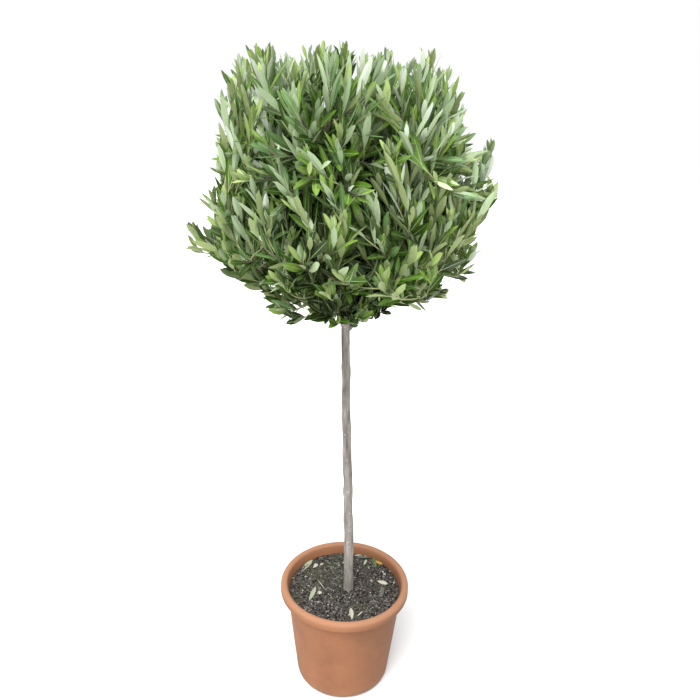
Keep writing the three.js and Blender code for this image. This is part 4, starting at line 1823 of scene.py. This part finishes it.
@dataclass(frozen=True)
class LeafRule:
    """The rule by which leaves sit on a shoot."""

    pairs: int = 7  # Most pairs on a shoot.
    few_pairs: float = 1.4  # Most pairs on the lowest shoots.
    spacing: float = 15  # Length of shoot from one pair to the next.
    crowding: float = 0.62  # Share of it on the lowest shoots.
    spacing_range: Span = (0.82, 1.2)
    end_gap: float = 1.5  # Length of shoot past the leaves at its end.
    first_gap: float = 0.55  # How much nearer to the end all pairs stand, as a share of the spacing.
    leafy_share: float = 0.86
    numbers: int = 40  # Numbers that are kept for the leaves of one shoot.
    roll_jitter: float = 0.5
    spreads: Span = (0.3, 0.66)  # Angle from the shoot, first pair and last, in radians.
    spread_range: Span = (0.6, 1.5)
    closing: float = 0.72  # Share of that angle on the highest shoots.
    end_spread: float = 0.24
    least_spread: float = 0.06  # Angle that is added at a shoot's end.
    rises: Span = (0.42, 0.03)  # How far leaves turn upwards on the lowest shoots and on the highest.
    light_turn: float = 0.65  # How far leaves turn their upper side to the light.
    side_light: float = 0.7  # Strength of the light from outside, where the light from above is 1.
    facing_jitter: float = 1.3
    lengths: Span = (49, 62)  # Length of a full leaf on the lowest shoots and on the highest.
    # Share of it at a shoot's first pair, its middle and its last pair.
    sizes: tuple[float, float, float] = (0.62, 1.0, 0.86)
    length_range: Span = (0.82, 1.16)
    end_leaf: float = 24  # Length of the leaves at a shoot's end.
    low_end_leaf: float = 1.3  # How many times longer they are on the lowest shoots.
    end_range: Span = (0.8, 1.1)
    widths: Span = (12.8, 9.6)
    width_range: Span = (0.85, 1.1)
    arches: Span = (-0.04, 0.16)
    folds: Span = (-0.12, 0.42)
    twist: float = 1.1


@dataclass(frozen=True)
class TintRule:
    """The rule by which sprays and leaves get their tints."""

    # Random numbers under which a spray is fresh or plain green. Others are blue-green.
    greens: Span = (0.3, 0.68)
    young_below: float = 0.55  # Random number under which a spray's end leaves are young.
    young_to: int = 1  # Last pair, counted from a shoot's end, that is young.
    sheen_from: int = 2  # First pair that may get a painted sheen.
    # Share of leaves with a painted sheen.
    sheen_share: float = 0.1
    deep_from: int = 5  # First pair that is always deep.
    # Share of other leaves that are deep, in the middle and at the far left, where the extra deep leaves are
    # painted shade.
    deep_shares: Span = (0.14, 0.44)
    # Level under which leaves get painted shade, on the lowest shoots and on the highest.
    shaded_below: Span = (1.21, 0.56)
    shade_power: float = 0.45  # Power of the height by which that level falls.
    shade_mixing: float = 0.36  # Span by which that level differs from shoot to shoot.
    deep_shade_fall: float = 1.7  # How fast the share of leaves in the darkest painted shade falls with height.
    # How much spray, leaf and height add to an underside's paleness.
    pale_shares: tuple[float, float, float] = (0.75, 0.25, 0.5)
    left_shade: float = 0.26  # How much less pale undersides are at the far left, as painted shade.
    pale_steps: Span = (0.43, 0.77)  # Paleness under which an underside is sage or silver. Others are pale.


@dataclass
class Spray:
    """Shoots and the leaves that they carry."""

    shoots: Paths
    leaves: Leaves


@dataclass(frozen=True)
class Growth:
    """What makes leafy shoots grow within the crown."""

    skin: CrownSkin = CrownSkin()
    shoot: ShootRule = ShootRule()
    leaf: LeafRule = LeafRule()
    tint: TintRule = TintRule()

    @property
    def main_twigs(self) -> int:
        """Number of main twigs, which come before the finer shoots."""
        return self.shoot.main_count + len(self.skin.tufts)

    def direction(self, tips: Array, index: Array) -> Array:
        """Give the way each shoot points at its tip. Finer shoots lean out further, but not the lowest."""
        fine_gain = mix(1, self.shoot.fine_lean, self.skin.rising(tips[:, 2]))
        return self.skin.shoot_direction(tips, index, np.where(index < self.main_twigs, 1, fine_gain))

    def parents(self, tips: Array, index: Array, places: Array) -> Array:
        """Choose the place that each finer shoot starts from: the best one behind and below its tip.

        Args:
            tips: Where each shoot's end leaf reaches.
            index: Number of each shoot.
            places: Places on limbs and twigs.

        Returns:
            Number of the place for each shoot.
        """
        rising = self.skin.rising(tips[:, 2:])
        outward = unit((tips - self.skin.axis(tips[:, 2])) * [1, 1, 0] + UP)
        direction = unit(mix(outward, self.direction(tips, index), rising))
        length = drawn(index, Salt.SHOOT_LENGTH, self.shoot.lengths)[:, None]
        wanted = tips - direction * (length * mix(self.shoot.low_length, 1, rising))
        miss = np.linalg.norm(wanted[:, None] - places, axis=2)
        too_high = places[:, 2] > tips[:, 2:] - self.shoot.least_rise * rising
        return np.argmin(miss + self.shoot.lengths[1] * too_high, axis=1)

    def curves(self, start: Array, heading: Array, tips: Array, index: Array, steps: int) -> Paths:
        """Draw shoots: cubic curves that leave along a heading and end along the shoot's direction.

        Args:
            start: Where each shoot starts.
            heading: The way it leaves.
            tips: Where its end leaf reaches.
            index: Number of each shoot.
            steps: Stretches along a shoot.

        Returns:
            The shoots.
        """
        direction = self.direction(tips, index)
        end = tips - self.shoot.end_share * self.leaf.end_leaf * direction
        reach = np.linalg.norm(end - start, axis=1, keepdims=True)
        shortest, longest = (share * reach for share in self.shoot.end_handles)
        handle = end - np.clip(tips[:, 2:] - self.skin.bottom_z, shortest, longest) * direction
        handle[:, 2] = np.maximum(handle[:, 2], np.minimum(start[:, 2], end[:, 2]) - self.shoot.sag)
        controls = np.stack([start, start + self.shoot.start_handle * reach * heading, handle, end], axis=1)
        return Paths(bezier(controls, steps))

    def leaves(self, shoots: Paths, index: Array) -> tuple[Leaves, Array]:
        """Set leaves on shoots: two small ones at the end, then pairs that turn a quarter each time.

        Args:
            shoots: The shoots.
            index: Number of each one.

        Returns:
            The leaves that keep within the crown's reach, and which shoots carry any.
        """
        rule = self.leaf
        ends = shoots.points[:, -1]
        height = self.skin.height_share(ends[:, 2])[:, None]
        order = np.arange(rule.pairs + 1)
        crowding = mix(rule.crowding, 1, self.skin.rising(ends[:, 2]))
        spacing = (rule.spacing * crowding * drawn(index, Salt.LEAF_SPACING, rule.spacing_range))[:, None]
        back = rule.end_gap + spacing * (order - rule.first_gap * (order > 0))
        most = mix(rule.few_pairs, rule.pairs, self.skin.fullness(ends[:, 2]))[:, None]
        carried = (back < rule.leafy_share * shoots.length[:, None]) & (order <= most)
        keep = np.repeat(carried, 2, axis=1).ravel()
        point, along = shoots.read(np.clip(shoots.length[:, None] - back, 0, None))
        point, along = np.repeat(point, 2, axis=1), np.repeat(along, 2, axis=1)
        rank = np.repeat(order, 2)
        share = rank / rule.pairs
        number = (index[:, None] * rule.numbers + np.arange(len(rank))).astype(float)
        roll = 2 * math.pi * chance(index, Salt.SHOOT_ROLL)[:, None] + rank * math.pi / 2
        roll = roll + np.tile([0, math.pi], len(order)) + wobble(number, Salt.LEAF_ROLL, rule.roll_jitter)
        square = unit(np.cross(along, np.broadcast_to(shoots.square()[:, None], along.shape)))
        side = turn_about(square, along, roll)
        spread = mix(*rule.spreads, share) * mix(1, rule.closing, height)
        spread = spread * drawn(number, Salt.LEAF_SPREAD, rule.spread_range)
        end_spread = rule.end_spread * spread / rule.spreads[0] + rule.least_spread
        spread = np.where(rank == 0, end_spread, spread)[..., None]
        rise = mix(*rule.rises, height)[..., None] * UP
        axis = unit(np.cos(spread) * along + np.sin(spread) * side + rise)
        light = UP + rule.side_light * unit(point - self.skin.axis(point[..., 2]))
        facing = np.sin(spread) * along - np.cos(spread) * side + rule.light_turn * light
        facing = unit(facing - axis * (facing * axis).sum(axis=-1, keepdims=True))
        facing = turn_about(facing, axis, wobble(number, Salt.LEAF_FACING, rule.facing_jitter))
        full = mix(*rule.lengths, height)
        size = np.interp(share, [1 / rule.pairs, 0.5, 1], rule.sizes)
        size = size * drawn(number, Salt.LEAF_LENGTH, rule.length_range)
        end_leaf = rule.end_leaf * mix(rule.low_end_leaf, 1, height)
        end_leaf = end_leaf * drawn(number, Salt.LEAF_LENGTH, rule.end_range)
        length = np.where(rank == 0, end_leaf, full * size)
        width = mix(*rule.widths, height) * np.sqrt(length / full)
        width = width * drawn(number, Salt.LEAF_WIDTH, rule.width_range)
        grown = Leaves(
            point.reshape(-1, 3), axis.reshape(-1, 3), facing.reshape(-1, 3), length.ravel(), width.ravel(),
            drawn(number, Salt.LEAF_ARCH, rule.arches).ravel(),
            drawn(number, Salt.LEAF_FOLD, rule.folds).ravel(),
            wobble(number, Salt.LEAF_TWIST, rule.twist).ravel(),
            self.tints(index, ends, rank, number).reshape(-1, len(LeafSide)),
        )
        keep &= self.skin.holds(grown.tips())
        leafy = keep.reshape(len(index), -1).sum(axis=1) >= self.shoot.least_leaves
        keep &= np.repeat(leafy, len(rank))
        return grown.chosen(keep), leafy

    def tints(self, index: Array, ends: Array, rank: Array, number: Array) -> Array:
        """Deal out tints: one green and one underside to a spray, younger at its end, paler up high, with
        painted shade inside the crown, low down and at the left, and a painted sheen on some leaves.

        Args:
            index: Number of each shoot.
            ends: Where each shoot ends.
            rank: Order of each pair back from the end.
            number: Number of each leaf, shape (shoots, leaves).

        Returns:
            Finish numbers of the leaves' sides, shape (shoots, leaves, sides).
        """
        rule = self.tint
        height = self.skin.height_share(ends[:, 2:])
        # Painted shade on the crown's left side: more deep leaves and less pale undersides towards the far
        # left.
        left = np.clip((self.skin.axis_x - ends[:, :1]) / self.skin.radius, 0, 1)
        # Painted shade: sprays that lie deep inside the crown, more of them low down, get dark tints, and the
        # darkest ones lie mostly low.
        level = self.skin.level(ends) + wobble(index, Salt.SPRAY_SHADE, rule.shade_mixing)
        inner = level[:, None] < mix(*rule.shaded_below, height**rule.shade_power)
        deep_shaded = inner & (chance(number, Salt.LEAF_DUSKY) > rule.deep_shade_fall * height)
        spray = chance(index, Salt.SPRAY_GREEN)[:, None]
        young = np.where(spray < rule.young_below, LeafTint.YOUNG, LeafTint.FRESH)
        deep = (rank >= rule.deep_from) | (chance(number, Salt.LEAF_DEEP) < mix(*rule.deep_shares, left))
        # Painted sheen: some leaves get a pale upper side in place of a glint.
        light = (rank >= rule.sheen_from) & (chance(number, Salt.LEAF_LIGHT) < rule.sheen_share)
        fresh, green = (spray < step for step in rule.greens)
        upper = np.select(
            [deep_shaded, inner, light, deep, rank <= rule.young_to, fresh, green],
            [LeafTint.SHADE, LeafTint.DEEP, LeafTint.LIGHT, LeafTint.DEEP, young, LeafTint.FRESH,
             LeafTint.GREEN], LeafTint.BLUE)
        by_spray, by_leaf, by_height = rule.pale_shares
        # Paleness picks the underside; the palest ones are partly a painted highlight.
        pale = by_spray * chance(index, Salt.SPRAY_PALE)[:, None] + by_leaf * chance(number, Salt.LEAF_PALE)
        pale = pale + by_height * (height - 0.5) - rule.left_shade * left
        sage, silver = (pale < step for step in rule.pale_steps)
        # Undersides in painted shade get the sage or the darkest shade tint.
        under = np.select(
            [deep_shaded, inner, sage, silver],
            [LeafTint.DIM, LeafTint.SAGE, LeafTint.SAGE, LeafTint.SILVER], LeafTint.PALE)
        rib = np.full(number.shape, LeafTint.RIB)
        return np.stack(np.broadcast_arrays(upper, rib, under), axis=-1)

    def spray(self, start: Array, heading: Array, tips: Array, index: Array, steps: int) -> Spray:
        """Grow shoots and their leaves, and leave out the shoots that hang, stray or stay bare.

        Args:
            start: Where each shoot starts.
            heading: The way it leaves.
            tips: Where its end leaf reaches.
            index: Number of each shoot.
            steps: Stretches along a shoot.

        Returns:
            The leafy shoots.
        """
        rising = tips[:, 2] > start[:, 2] - self.shoot.droop
        index = index[rising]
        shoots = self.curves(start[rising], heading[rising], tips[rising], index, steps)
        held = self.skin.holds(shoots.points[:, steps // 3:]).all(axis=1)
        shoots = Paths(shoots.points[held])
        leaves, leafy = self.leaves(shoots, index[held])
        return Spray(Paths(shoots.points[leafy]), leaves)


@dataclass
class FoliageMass:
    """The stem, twigs and leaves that one bough carries."""

    bough: Bough
    growth: Growth
    tips: Array
    index: Array
    stem: Paths = field(init=False)  # Carries on from the bough's tip and bends to the site.
    twigs: Spray = field(init=False)  # Main twigs, from even stations on the stem, the lowest tip first.
    stem_handle: float = 0.45  # How far the stem carries straight on, as a share of its reach.
    first_station: float = 0.16  # Place of the first twig, as a share of the stem.
    stem_steps: int = 24
    twig_steps: int = 16

    def __post_init__(self) -> None:
        """Grow the stem and the main twigs."""
        limb = self.bough.path().points[0]
        start, along = limb[-1], unit(limb[-1] - limb[-2])
        reach = np.linalg.norm(self.bough.site - start)
        controls = np.stack([start, start + self.stem_handle * reach * along, self.bough.site])
        self.stem = Paths(bezier(controls, self.stem_steps)[None])
        order = np.argsort(self.tips[:, 2])
        stations = np.linspace(self.first_station, 1, len(order)) * self.stem.length[0]
        start, heading = self.stem.read(stations[None])
        tips, index = self.tips[order], self.index[order]
        self.twigs = self.growth.spray(start[0], heading[0], tips, index, self.twig_steps)

    def places(self) -> tuple[Array, Array]:
        """Give the places where finer shoots may start.

        Returns:
            Places on twigs, stem and bough, and the headings there.
        """
        # Each kind of limb, with the shares of its length at the first and last place, and their number.
        stretches = (
            (self.twigs.shoots, 0.2, 0.9, 12),
            (self.stem, 0.1, 1, 8),
            (self.bough.path(), 0.04, 1, 12),
        )
        read = [path.read(path.length[:, None] * np.linspace(*stretch)) for path, *stretch in stretches]
        points, headings = (np.concatenate([part.reshape(-1, 3) for part in parts]) for parts in zip(*read))
        return points, headings

    def wood(self, shoots: Paths) -> Surface:
        """Carry round profiles along stem, twigs and finer shoots, each tapering to its end.

        Args:
            shoots: The finer shoots that start on this mass.

        Returns:
            All its wood, with the older limbs in bark.
        """
        # Each kind of limb, with its first and last radius, corners of a ring and finish.
        limbs = (
            (self.stem, (self.bough.tip_radius, 2), 10, TwigTint.BARK),
            (self.twigs.shoots, (1.9, 0.7), 6, TwigTint.BARK),
            (shoots, (1.15, 0.55), 5, TwigTint.YOUNG),
        )
        made = []
        for paths, radii, sides, tint in limbs:
            radius = np.broadcast_to(np.linspace(*radii, paths.points.shape[1]), paths.points.shape[:2])
            made.append(sweep(paths, radius, sides).painted(tint))
        return Surface.joined(made)

    def build(self, fine: Spray) -> list[Piece]:
        """Put the mass into the scene, in place of the solid one.

        Args:
            fine: The finer shoots that start on this mass.

        Returns:
            Its wood and its leaves.
        """
        label = self.bough.label
        wood = self.wood(fine.shoots).piece(f"twigs_{label}", TWIG_FINISHES, crease=60)
        leaves = Surface.joined([self.twigs.leaves.surface(), fine.leaves.surface()])
        green = leaves.piece(f"leaves_{label}", LEAF_FINISHES, crease=14)
        for made, slot in ((wood, "bark"), (green, "foliage")):
            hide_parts(f"foliage_{label}")
        return [wood, green]


@dataclass(frozen=True)
class Crown:
    """All boughs and foliage masses about one skin."""

    trunk: Trunk
    growth: Growth = Growth()
    fine_steps: int = 12

    def masses(self, boughs: Sequence[Bough]) -> list[FoliageMass]:
        """Grow a mass on each bough. It takes the skin points that lie nearest to its site.

        Args:
            boughs: The boughs.

        Returns:
            A mass for each bough, in order.
        """
        skin = self.growth.skin
        tips = np.concatenate([skin.points(self.growth.shoot.main_count, 0), skin.tuft_tips()])
        sites = np.stack([bough.site for bough in boughs])
        owner = np.argmin(np.linalg.norm(tips[:, None] - sites, axis=2), axis=1)
        own = [np.flatnonzero(owner == number) for number in range(len(boughs))]
        return [FoliageMass(bough, self.growth, tips[index], index) for bough, index in zip(boughs, own)]

    def fine_tips(self) -> tuple[Array, Array]:
        """Spread the tips of finer shoots over every layer, in the tufts and round the fork.

        Returns:
            The tips and their numbers.
        """
        skin, rule = self.growth.skin, self.growth.shoot
        first = self.growth.main_twigs
        tips, index = [], []
        for layer in rule.layers:
            numbers = first + np.arange(layer.count)
            spread = skin.points(layer.count, first, layer.level, True)
            spread[:, 2] += rule.lift * (1 - skin.rising(spread[:, 2]))
            grown = chance(numbers, Salt.LAYER_THINNING) < skin.fullness(spread[:, 2])
            kept = grown | (not layer.thinned)
            tips.append(spread[kept])
            index.append(numbers[kept])
            first += layer.count
        tips.append(skin.tuft_tips(rule.tuft_scatter, first, rule.tuft))
        tips.append(skin.collar_tips(rule.collar, first + len(tips[-1])))
        index.append(first + np.arange(len(tips[-2]) + len(tips[-1])))
        return np.concatenate(tips), np.concatenate(index)

    def build(self) -> list[Piece]:
        """Build every bough and its mass. A finer shoot belongs to the mass that it starts on.

        Returns:
            The boughs, then the wood and the leaves of each mass.
        """
        boughs = plan_boughs(self.trunk, self.growth.skin)
        masses = self.masses(boughs)
        found = [mass.places() for mass in masses]
        owner = np.repeat(np.arange(len(masses)), [len(points) for points, _ in found])
        places, headings = (np.concatenate(part) for part in zip(*found))
        tips, index = self.fine_tips()
        parent = self.growth.parents(tips, index, places)
        heading = unit(headings[parent] + self.growth.direction(tips, index))
        pieces = [bough.build() for bough in boughs]
        for number, mass in enumerate(masses):
            own = owner[parent] == number
            starts = places[parent[own]]
            fine = self.growth.spray(starts, heading[own], tips[own], index[own], self.fine_steps)
            pieces += mass.build(fine)
        return pieces


# Studio


PALE_FLOOR = Finish("pale_floor", (224, 224, 224), 0.9, 0.1)


@dataclass(frozen=True)
class Studio:
    """A pale floor, soft light from above and the left, and the camera."""

    eye: Point = (0.0, -1.1, 1.1032)  # Camera place in metres.
    pitch: float = 21.448  # How far it looks down, in degrees.
    yaw: float = -0.122  # How far it looks to the right.
    roll: float = 1.639  # How far it leans over.
    lens: float = 36.786
    sensor: float = 36
    floor_size: float = 14.0
    sky: float = 1.0  # Strength of the light from all sides.
    key_heading: Point = (0.2, 0.5, -1.0)
    key_width: float = 36.0  # Width of the key light in the sky, in degrees.
    key_energy: float = 4.5

    def camera(self) -> None:
        """Place the camera by its heading: forward from yaw and pitch, then the lean about it."""
        pitch, yaw, roll = (math.radians(angle) for angle in (self.pitch, self.yaw, self.roll))
        level = math.cos(pitch)
        forward = Vector((math.sin(yaw) * level, math.cos(yaw) * level, -math.sin(pitch)))
        right = Vector((math.cos(yaw), -math.sin(yaw), 0))
        up = right.cross(forward)
        leaning = right * math.cos(roll) + up * math.sin(roll)
        data = bpy.data.cameras.new("camera")
        data.sensor_width = self.sensor
        data.lens = self.lens
        camera = bpy.data.objects.new("camera", data)
        turn = Matrix((leaning, leaning.cross(forward), -forward)).transposed().to_4x4()
        camera.matrix_world = Matrix.Translation(self.eye) @ turn
        bpy.context.scene.collection.objects.link(camera)
        bpy.context.scene.camera = camera

    def key(self) -> None:
        """Hang the key light far off: even over the whole floor, and wide enough for soft shadows."""
        data = bpy.data.lights.new("key", "SUN")
        data.angle = math.radians(self.key_width)
        data.energy = self.key_energy
        lamp = bpy.data.objects.new("key", data)
        lamp.matrix_world = Vector(self.key_heading).to_track_quat("-Z", "Y").to_matrix().to_4x4()
        bpy.context.scene.collection.objects.link(lamp)

    def floor(self) -> None:
        """Lay the floor, which belongs to the studio and not to the tree."""
        half = self.floor_size / 2
        corners = [(-half, -half, 0), (half, -half, 0), (half, half, 0), (-half, half, 0)]
        mesh = bpy.data.meshes.new("floor")
        mesh.from_pydata(corners, [], [(0, 1, 2, 3)])
        mesh.materials.append(PALE_FLOOR.material())
        floor = bpy.data.objects.new("floor", mesh)
        bpy.context.scene.collection.objects.link(floor)

    def build(self) -> None:
        """Set up floor, sky, key light and camera."""
        self.floor()
        world = bpy.data.worlds.new("sky")
        world.use_nodes = True
        background = world.node_tree.nodes["Background"]
        background.inputs["Color"].default_value = (1.0, 1.0, 1.0, 1.0)
        background.inputs["Strength"].default_value = self.sky
        bpy.context.scene.world = world
        bpy.context.scene.view_settings.view_transform = "Standard"
        self.key()
        self.camera()


def main() -> None:
    """Build pot, compost, fallen leaves, trunk and crown, report each piece, and set up the studio.
    """
    logging.basicConfig(level=logging.INFO, format="%(message)s")
    pot = Pot()
    bed = CompostBed(pot)
    trunk = Trunk()
    pieces = [pot.build(), *bed.build(), LeafLitter(bed).build(), trunk.build(), *Crown(trunk).build()]
    for piece in pieces:
        log.info("%s: %d faces", piece.name, len(piece.data.polygons))
    Studio().build()


if __name__ == "__main__":
    main()
